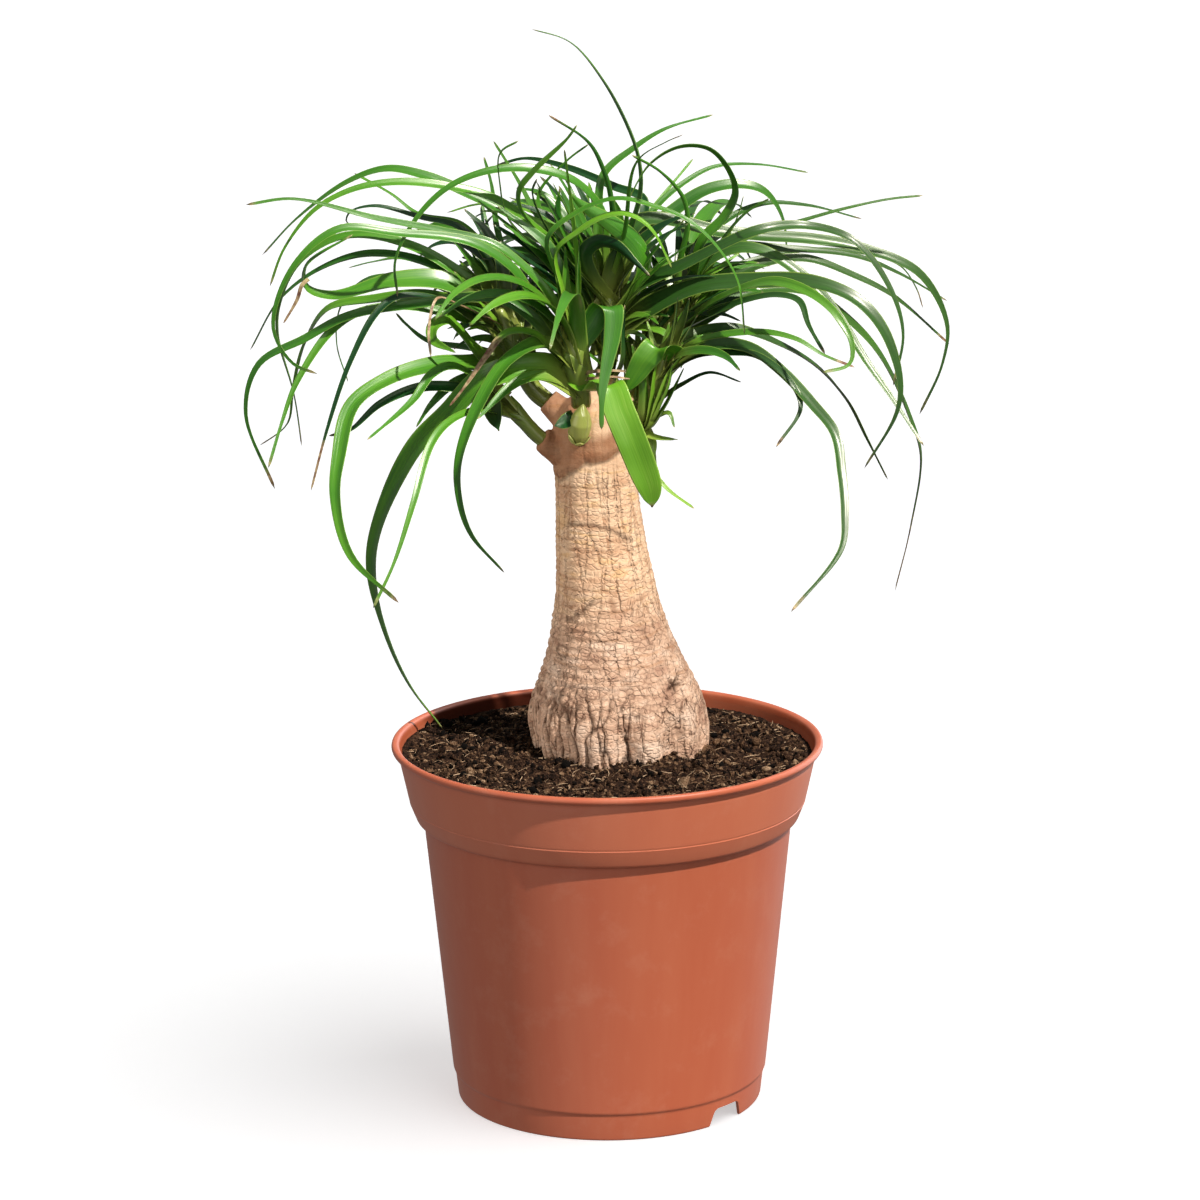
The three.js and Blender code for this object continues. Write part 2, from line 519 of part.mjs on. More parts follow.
// Radius added at a height and azimuth: clefts between the toes, and one step for each leaf-scar ring.
function trunkRelief(height, azimuth) {
  const fade = 1 - smoothStep(TOE_FULL, TOE_TOP, height);
  let relief = 0;
  for (const toe of TOE_AZIMUTHS) {
    const away = Math.abs(((azimuth - toe + 540) % 360) - 180);
    relief -= fade * TOE_CLEFT * Math.exp(-((away / TOE_HALF_ANGLE) ** 2));
  }
  if (height > RING_FIRST - RING_PITCH / 2 && height < RING_LAST + RING_PITCH / 2) {
    const phase = (height - RING_FIRST) / RING_PITCH;
    relief += RING_STEP * (1 - 2 * (phase - Math.floor(phase)));
  }
  return relief;
}

function trunkSolid(grow = 0) {
  const heights = TRUNK_PROFILE.map(([height]) => height).filter((h) => h < RING_FIRST || h > RING_LAST);
  for (let ring = RING_FIRST; ring < RING_LAST; ring += RING_PITCH) {
    heights.push(ring - RING_LIP, ring + RING_LIP);
  }
  heights.sort((a, b) => a - b);
  const rings = heights.map((height) =>
    Array.from({ length: TRUNK_SIDES }, (_, i) => {
      const azimuth = (360 * i) / TRUNK_SIDES;
      const radius = tableAt(TRUNK_PROFILE, height, 2) + trunkRelief(height, azimuth) + grow;
      const x = tableAt(TRUNK_PROFILE, height, 1) + radius * Math.cos(azimuth * DEG);
      return new THREE.Vector3(x, radius * Math.sin(azimuth * DEG), height - (height === heights[0] ? grow : 0));
    }),
  );
  const [topX, topY, topZ] = TRUNK_TOP;
  rings.push([new THREE.Vector3(topX, topY, topZ + grow)]);
  const stubs = Object.values(SHOOTS).map(({ stub }) => taperedTube(grownEnd(stub, grow), STEM_SIDES, grow));
  return joined([toSolid(loft(rings)), ...stubs]);
}

// The stub's outer end moved out by the same growth as its side.
function grownEnd([[base, baseRadius], [end, endRadius]], grow) {
  const from = new THREE.Vector3(...base);
  const to = new THREE.Vector3(...end);
  const along = to.clone().sub(from).normalize();
  return [[base, baseRadius], [to.addScaledVector(along, grow).toArray(), endRadius]];
}

// ---- Soil ----------------------------------------------------------------------------------

function soilHeight(x, y) {
  const rise = 1 - smoothStep(SOIL_MOUND_EDGE, SOIL_RINGS[0], Math.hypot(x, y));
  const crumb = Math.sin(x / 4.3 + 1) * Math.sin(y / 3.9) + 0.7 * Math.sin((x + y) / 2.7 + 2);
  return SOIL_EDGE_HEIGHT + SOIL_MOUND * rise + SOIL_CRUMB * crumb;
}

function soilSolid(grownTrunk) {
  const circle = (radius, heightAt) =>
    Array.from({ length: SOIL_SIDES }, (_, i) => {
      const turn = (2 * Math.PI * i) / SOIL_SIDES;
      const [x, y] = [radius * Math.cos(turn), radius * Math.sin(turn)];
      return new THREE.Vector3(x, y, heightAt(x, y));
    });
  const reach = tableAt(
    POT_INSIDE.toReversed().map(([radius, height]) => [height, radius]),
    SOIL_EDGE_HEIGHT,
    1,
  );
  const wall = POT_INSIDE.filter(([, height]) => height < SOIL_EDGE_HEIGHT).toReversed();
  const facet = Math.cos(Math.PI / POT_SIDES);
  const rings = [[new THREE.Vector3(0, 0, FLOOR_TOP + GAP)]];
  for (const [radius, height] of wall) {
    rings.push(circle(radius * facet - 2 * GAP, () => Math.max(height, FLOOR_TOP + GAP)));
  }
  rings.push(circle(reach * facet - 2 * GAP, () => SOIL_EDGE_HEIGHT));
  for (const radius of SOIL_RINGS) {
    rings.push(circle(radius, soilHeight));
  }
  rings.push([new THREE.Vector3(0, 0, SOIL_EDGE_HEIGHT + SOIL_MOUND)]);
  return toSolid(loft(rings)).subtract(grownTrunk);
}

// ---- Leaf routes ---------------------------------------------------------------------------

// A point seen at [x, z] against the plane y = 0, moved along its line of sight to a depth.
function onSight([x, z], depth) {
  const scale = 1 + depth / VIEW_DISTANCE;
  return new THREE.Vector3(x * scale, depth, VIEW_HEIGHT - (VIEW_HEIGHT - z) * scale);
}

function seen(point) {
  const scale = 1 + point.y / VIEW_DISTANCE;
  return [point.x / scale, VIEW_HEIGHT - (VIEW_HEIGHT - point.z) / scale];
}

// The point at a share of a stem's length, counted in its given points.
function onStem(shoot, share) {
  const { stem } = SHOOTS[shoot];
  const along = share * (stem.length - 1);
  const k = Math.min(Math.floor(along), stem.length - 2);
  return new THREE.Vector3(...stem[k][0]).lerp(new THREE.Vector3(...stem[k + 1][0]), along - k);
}

// The route's points in space, with the tip slid and the middle bowed in depth.
function routePoints(base, route, tipDepth, slide, bow) {
  const flat = [seen(base), ...route.map(([x, z]) => [x, z])];
  const lengths = [0];
  for (let i = 1; i < flat.length; i++) {
    lengths.push(lengths[i - 1] + Math.hypot(flat[i][0] - flat[i - 1][0], flat[i][1] - flat[i - 1][1]));
  }
  return flat.map((spot, i) => {
    if (i === 0) return base.clone();
    const share = lengths[i] / lengths.at(-1);
    const depth = route[i - 1][2] ?? base.y + (tipDepth - base.y) * share;
    return onSight(spot, depth + slide * share + bow * Math.sin(Math.PI * share));
  });
}

// Fine stations along a leaf: place, direction across the blade, direction of its upper face, half width.
function leafStations(points, width, { held = false, flare = LEAF_FLARE, taper = LEAF_TAPER } = {}) {
  const curve = new THREE.CatmullRomCurve3(points, false, "centripetal");
  const places = curve.getSpacedPoints(LEAF_FINE_STEPS);
  const last = places.length - 1;
  const heading = places[Math.round(0.6 * last)].clone().sub(places[0]).setZ(0).normalize();
  const level = held ? new THREE.Vector3(1, 0, 0) : new THREE.Vector3(-heading.y, heading.x, 0);
  const roll = held ? 0 : LEAF_FACE * DEG * heading.x;
  let across = level;
  return places.map((at, i) => {
    const along = places[Math.min(i + 1, last)].clone().sub(places[Math.max(i - 1, 0)]).normalize();
    const carried = held ? level : across;
    across = carried.clone().addScaledVector(along, -carried.dot(along)).normalize();
    if (i === 0) across.applyAxisAngle(along, roll);
    const share = i / last;
    const clasp = 1 + flare * Math.exp(-share / LEAF_FLARE_LENGTH);
    const half = (width / 2) * clasp * (1 - share ** taper);
    return { at, across: across.clone(), up: along.clone().cross(across), along, half };
  });
}

// The stations that the solid uses: closer together where the leaf bends, and more of them on one that curls.
function coarse(stations) {
  const effort = [0];
  for (let i = 1; i < stations.length; i++) {
    const turn = stations[i].along.angleTo(stations[i - 1].along);
    effort.push(effort[i - 1] + 1 / LEAF_FINE_STEPS + turn / TURN_PER_EFFORT);
  }
  const total = effort.at(-1);
  const steps = Math.min(Math.round(LEAF_BASE_STEPS + LEAF_STEPS_PER_EFFORT * total), LEAF_MOST_STEPS);
  const marks = Array.from({ length: steps + 1 }, (_, k) => (total * k) / steps - 1e-9);
  return marks.map((mark) => stations[Math.max(effort.findIndex((value) => value >= mark), 0)]);
}

// ---- Keeping shoots clear of each other ----------------------------------------------------

// Shortest distance between the segments p-p2 and q-q2.
function segmentDistance(p, p2, q, q2) {
  const d = p2.clone().sub(p);
  const e = q2.clone().sub(q);
  const r = p.clone().sub(q);
  const [a, b, c, f, g] = [d.dot(d), d.dot(e), e.dot(e), d.dot(r), e.dot(r)];
  const slope = a * c - b * b;
  let s = slope > 1e-9 ? Math.min(Math.max((b * g - c * f) / slope, 0), 1) : 0;
  let t = (b * s + g) / c;
  if (t < 0 || t > 1) {
    t = Math.min(Math.max(t, 0), 1);
    s = Math.min(Math.max((b * t - f) / a, 0), 1);
  }
  return r.addScaledVector(d, s).addScaledVector(e, -t).length();
}

const obstacles = []; // { shoot, from, to, radius }
for (const [shoot, { stem }] of [...Object.entries(SHOOTS), ["bud", { stem: BUD_STEM }]]) {
  for (let k = 0; k + 1 < stem.length; k++) {
    const [from, to] = [stem[k], stem[k + 1]];
    const radius = Math.max(from[1], to[1]);
    obstacles.push({ shoot, from: new THREE.Vector3(...from[0]), to: new THREE.Vector3(...to[0]), radius });
  }
}

function isClear(shoot, stations) {
  for (let i = 0; i + 1 < stations.length; i++) {
    const [here, next] = [stations[i], stations[i + 1]];
    if (i > 0 && here.at.z < TRUNK_TOP[2]) {
      const out = Math.hypot(here.at.x - tableAt(TRUNK_PROFILE, here.at.z, 1), here.at.y);
      if (out < tableAt(TRUNK_PROFILE, here.at.z, 2) + here.half + 2 * LEAF_CLEARANCE) return false;
    }
    for (const other of obstacles) {
      if (other.shoot === shoot) continue;
      if (Math.abs(here.at.x - other.from.x) > NEIGHBOUR_RANGE) continue;
      if (Math.abs(here.at.z - other.from.z) > NEIGHBOUR_RANGE) continue;
      const least = here.half + other.radius + LEAF_CLEARANCE;
      if (segmentDistance(here.at, next.at, other.from, other.to) < least) return false;
    }
  }
  return true;
}

function claim(shoot, stations) {
  for (let i = 0; i + 1 < stations.length; i++) {
    obstacles.push({ shoot, from: stations[i].at, to: stations[i + 1].at, radius: stations[i].half });
  }
}

// Bends to try, the smallest first.
function bends() {
  const tries = [];
  for (let slide = -BEND_SLIDES; slide <= BEND_SLIDES; slide++) {
    for (let bow = -BEND_BOWS; bow <= BEND_BOWS; bow++) {
      tries.push([slide * BEND_STEP, bow * BEND_STEP]);
    }
  }
  const forwardLast = (move) => (move < 0 ? 0.1 : 0);
  const size = ([slide, bow]) =>
    Math.abs(slide) + 1.01 * Math.abs(bow) + forwardLast(slide) + 0.1 * forwardLast(bow);
  return tries.sort((a, b) => size(a) - size(b));
}

const BENDS = bends();

function tracedLeaves() {
  return LEAVES.map(([shoot, share, width, tipDepth, route, options], index) => {
    const base = onStem(shoot, share);
    let stations;
    const found = BENDS.some(([slide, bow]) => {
      stations = leafStations(routePoints(base, route, tipDepth, slide, bow), width, options);
      return isClear(shoot, coarse(stations));
    });
    if (!found) throw new Error("leaf " + index + " of " + shoot + " finds no clear bend");
    claim(shoot, coarse(stations));
    return { shoot, stations };
  });
}

// ---- Leaves drawn by rule ------------------------------------------------------------------

let randomState = FILLER_SEED;
function random(low, high) {
  randomState = (randomState * 1664525 + 1013904223) % 4294967296;
  return low + ((high - low) * randomState) / 4294967296;
}

function drawnPoints(shoot, fromHeading, toHeading) {
  const point = onStem(shoot, random(0.3, 1));
  const points = [point.clone()];
  const heading = random(fromHeading, toHeading) * DEG;
  const sway = random(-FILLER_SWAY, FILLER_SWAY) * DEG;
  const step = random(...FILLER_LENGTH) / FILLER_STEPS;
  const rise = random(...FILLER_RISE) * DEG;
  const fall = random(...FILLER_FALL) * DEG;
  for (let i = 0; i < FILLER_STEPS; i++) {
    const share = (i + 0.5) / FILLER_STEPS;
    const elevation = rise + (fall - rise) * share;
    const turn = heading + sway * share;
    const level = step * Math.cos(elevation);
    point.x += level * Math.cos(turn);
    point.y += level * Math.sin(turn);
    point.z += step * Math.sin(elevation);
    points.push(point.clone());
  }
  return points;
}

// Seen from the front, a drawn leaf stays in the dense part of the head or behind the trunk.
function isHidden(point) {
  const [x, z] = seen(point);
  const [centreX, centreZ, halfWidth, halfHeight] = HEAD;
  if (Math.abs(point.y) > REACH) return false;
  if (((x - centreX) / halfWidth) ** 2 + ((z - centreZ) / halfHeight) ** 2 < 1) return true;
  const behind = tableAt(TRUNK_PROFILE, z, 2) - 3 - Math.abs(x - tableAt(TRUNK_PROFILE, z, 1));
  return point.y > 0 && z > POT_HEIGHT && z < TRUNK_TOP[2] && behind > 0;
}

function drawnLeaves() {
  const leaves = [];
  for (const [shoot, count, fromHeading, toHeading] of FILLERS) {
    let left = count;
    for (let attempt = 0; attempt < FILLER_TRIES && left > 0; attempt++) {
      const points = drawnPoints(shoot, fromHeading, toHeading);
      const stations = leafStations(points, random(...FILLER_WIDTH));
      if (!points.slice(1).every(isHidden) || !isClear(shoot, coarse(stations))) continue;
      claim(shoot, coarse(stations));
      leaves.push({ shoot, stations });
      left -= 1;
    }
    if (left > 0) throw new Error(shoot + " has no room for " + left + " of its leaves");
  }
  return leaves;
}

// ---- Shoots and bud ------------------------------------------------------------------------

// A blade folded along its midrib: flat on top, a keel below, and a pointed tip.
function bladeSolid(stations) {
  const rings = coarse(stations).map(({ at, across, up, half }, i, all) => {
    if (i === all.length - 1) return [at];
    const keel = Math.min(Math.max(2 * half * KEEL_SHARE, KEEL_MIN), KEEL_MAX);
    return [
      at.clone().addScaledVector(across, half),
      at.clone().addScaledVector(across, -half),
      at.clone().addScaledVector(up, -keel),
    ];
  });
  return toSolid(loft(rings));
}

function shootSolid(shoot, leaves, grownTrunk) {
  const blades = leaves.filter((leaf) => leaf.shoot === shoot).map(({ stations }) => bladeSolid(stations));
  const stem = taperedTube(SHOOTS[shoot].stem, STEM_SIDES);
  return largest(joined([stem, ...blades]).subtract(grownTrunk));
}

// ---- The plant in its pot ------------------------------------------------------------------

const potPlastic = new THREE.MeshStandardMaterial({ color: "#B85F42", roughness: 0.42, metalness: 0 });
const pottingSoil = new THREE.MeshStandardMaterial({ color: "#2E2520", roughness: 0.95, metalness: 0 });
const bark = new THREE.MeshStandardMaterial({ color: "#D0A880", roughness: 0.85, metalness: 0 });
const leafGreen = new THREE.MeshStandardMaterial({ color: "#3F8A2C", roughness: 0.4, metalness: 0 });
const budGreen = new THREE.MeshStandardMaterial({ color: "#97A653", roughness: 0.5, metalness: 0 });

const plant = new THREE.Group();
function addNode(name, solid, material) {
  const mesh = new THREE.Mesh(toGeometry(solid), material);
  mesh.name = name;
  plant.add(mesh);
}

const grownTrunk = trunkSolid(GAP);
const leaves = [...tracedLeaves(), ...drawnLeaves()];
addNode("pot", potSolid(), potPlastic);
addNode("soil", soilSolid(grownTrunk), pottingSoil);
addNode("trunk", trunkSolid(), bark);
addNode("bud", largest(taperedTube(BUD_STEM, BUD_SIDES).subtract(grownTrunk)), budGreen);
for (const shoot of Object.keys(SHOOTS)) {
  addNode(shoot, shootSolid(shoot, leaves, grownTrunk), leafGreen);
}

export default plant;
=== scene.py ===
"""A ponytail palm in a plastic nursery pot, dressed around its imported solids.

Sizes are millimetres, +Z up, with the origin on the pot's axis in the plane that its foot ring stands on.
Every leaf follows the route of its solid, by the same rule, so each piece keeps the form it replaces.
"""

from __future__ import annotations

import logging
import math
from collections.abc import Callable
from dataclasses import dataclass
from enum import Enum

import bmesh
import bpy
import numpy as np
from mathutils import Matrix, Vector, noise

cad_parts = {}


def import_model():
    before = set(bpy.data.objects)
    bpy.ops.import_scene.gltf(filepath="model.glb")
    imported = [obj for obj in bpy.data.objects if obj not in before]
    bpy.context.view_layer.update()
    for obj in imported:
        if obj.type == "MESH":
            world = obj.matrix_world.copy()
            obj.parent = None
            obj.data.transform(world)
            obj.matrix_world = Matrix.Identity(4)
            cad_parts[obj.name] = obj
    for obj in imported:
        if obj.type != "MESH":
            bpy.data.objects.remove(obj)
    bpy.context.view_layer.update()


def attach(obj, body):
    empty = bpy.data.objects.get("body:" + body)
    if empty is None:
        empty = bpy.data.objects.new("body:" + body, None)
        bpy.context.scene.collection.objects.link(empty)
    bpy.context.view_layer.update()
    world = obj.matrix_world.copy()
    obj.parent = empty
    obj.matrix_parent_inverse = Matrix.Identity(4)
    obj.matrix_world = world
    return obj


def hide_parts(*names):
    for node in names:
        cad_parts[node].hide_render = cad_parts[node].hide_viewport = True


log = logging.getLogger("palm")

MM = 0.001
Ring = tuple[tuple[float, float, float], float]  # a place and a radius

# ---- The solids' driving sizes ---------------------------------------------------------------------

POT_OUTSIDE = [(61.2, 0), (62.4, 10.6), (63.2, 11.6), (73.5, 115.6), (76.4, 116.6), (79, 123.2),
               (82.8, 140.6), (83.2, 143.4), (85.4, 144.2), (86, 145.4), (85.6, 146.7), (84.6, 147)]
POT_INSIDE = [(83, 146.5), (82, 144.4), (81.5, 140.8), (77.7, 123.8), (75.2, 117.8), (72.2, 115.4),
              (61.9, 12.6), (60, 9.6)]
POT_FOOT = [(60.7, 8), (59.9, 0)]
FLOOR_TOP = 9.6
SOIL_EDGE_HEIGHT = 141.6
SOIL_MOUND = 3.4
SOIL_MOUND_EDGE = 31
SOIL_RADIUS = 73

# The trunk as (height, centre x, radius).
TRUNK_PROFILE = np.array([
    (112, 6, 12), (120, 6, 24), (132, 6, 32), (142, 5.8, 34.8), (149.4, 5.2, 35.8), (155.5, 4.4, 36.3),
    (161, 4.2, 35.2), (166, 4.1, 33.4), (171, 3.9, 31.2), (182.8, 2.6, 26.1), (193, 1.5, 23.1),
    (203.6, .5, 20.6), (223, -1.5, 18.2), (243.6, -3.2, 16.3), (256, -4, 15.9), (262, -4.4, 15.9),
    (267, -4.4, 16.8), (273, -4.3, 16.4), (280, -4.2, 14.6), (285.6, -4, 11)])
TRUNK_TOP = (-4, 0, 289)
TOE_AZIMUTHS = np.array([-130, -85, -52, -18, 22, 66, 104, 150, 196])
TOE_CLEFT = 2.6
TOE_HALF_ANGLE = 9
TOE_TOP = 170
TOE_FULL = 150


@dataclass(frozen=True)
class Shoot:
    """A leafy shoot: its stub on the trunk and its stem, each as rings from the base up.

    The finished core is stout times as thick as the stem, and wrapped in some clasping sheaths.
    """

    stub: tuple[Ring, ...]
    stem: tuple[Ring, ...]
    stout: float = .8
    sheaths: int = 3


SHOOTS: dict[str, Shoot] = {
    "shoot_front": Shoot(
        (((-8, -6, 272), 7), ((-9.4, -10.4, 284), 5.4)),
        (((-9, -9, 281), 4.2), ((-9.6, -11.4, 291), 4), ((-11, -13, 300), 5), ((-12.4, -14, 308), 5.8),
         ((-13, -14.5, 315), 3))),
    "shoot_left_low": Shoot(
        (((-13, -3, 262), 7), ((-24.5, -5, 269.8), 4.6)),
        (((-19, -4.2, 266), 3.8), ((-26, -5, 271), 4.1), ((-31, -5.5, 276.5), 4.4), ((-36, -6, 282.5), 5),
         ((-40, -7, 288), 3.4)), stout=.56),
    "shoot_left_high": Shoot(
        (((-14, 3, 276), 6.4), ((-22.5, 4, 283.6), 4.9)),
        (((-18, 3.5, 280), 4), ((-26.6, 4.3, 286.6), 4.5), ((-31, 5, 293), 4.3), ((-35, 6, 303), 4.6),
         ((-39, 7, 313), 4.8), ((-41, 7.5, 319), 3)), stout=.68),
    "shoot_right_low": Shoot(
        (((4, -3, 271), 7.4), ((12, -5, 277), 5.4)),
        (((8, -4, 274), 4.4), ((14.5, -6.5, 280), 5.2), ((18.5, -9, 289), 5.8), ((21.5, -10.5, 298), 5.2),
         ((23, -11, 304), 3)), stout=.6, sheaths=0),
    "shoot_right_high": Shoot(
        (((0, 2, 276), 7.4), ((8.5, 4.5, 286), 5.4)),
        (((5, 3, 281), 4.4), ((12, 6, 290), 5.2), ((20, 9, 301), 5.8), ((27, 11, 310), 6.2),
         ((31, 12, 318), 3.4))),
    "shoot_crown": Shoot(
        (((-4, 4, 279), 6.4), ((-1, 7, 289.4), 4.6)),
        (((-2, 6, 284), 4), ((1, 9, 297), 3.6), ((2, 12, 308), 5), ((2, 14, 319), 6), ((2, 15, 329), 3.6))),
}
BUD_STEM: tuple[Ring, ...] = (((-10.4, -13.6, 267.4), 1.2), ((-10.2, -15.6, 270), 3.6),
                              ((-9.8, -17, 274), 4.5), ((-9.2, -18, 279), 3.6), ((-8.5, -19, 284.4), .4))


class Tint(Enum):
    """How light a leaf is, from deep green to straw: partly its own colour and partly painted light and
    shade, lighter where it stands lit and darker where it stands shaded.
    """

    DARK = -.9
    OLIVE = -.25
    MID = 0.
    BRIGHT = .55
    PALE = .85
    STRAW = 1.6


@dataclass(frozen=True)
class Leaf:
    """One leaf: where it leaves its stem, its width, and its route seen square-on with an optional depth."""

    share: float
    width: float
    tip_depth: float
    route: list[tuple[float, ...]]
    tint: Tint = Tint.MID
    dry: float = .985
    held: bool = False
    flare: float = .6
    taper: float = 2.2
    finished: tuple[tuple[float, ...], ...] = ()
    wider: float = 1
    fuller: float = .8
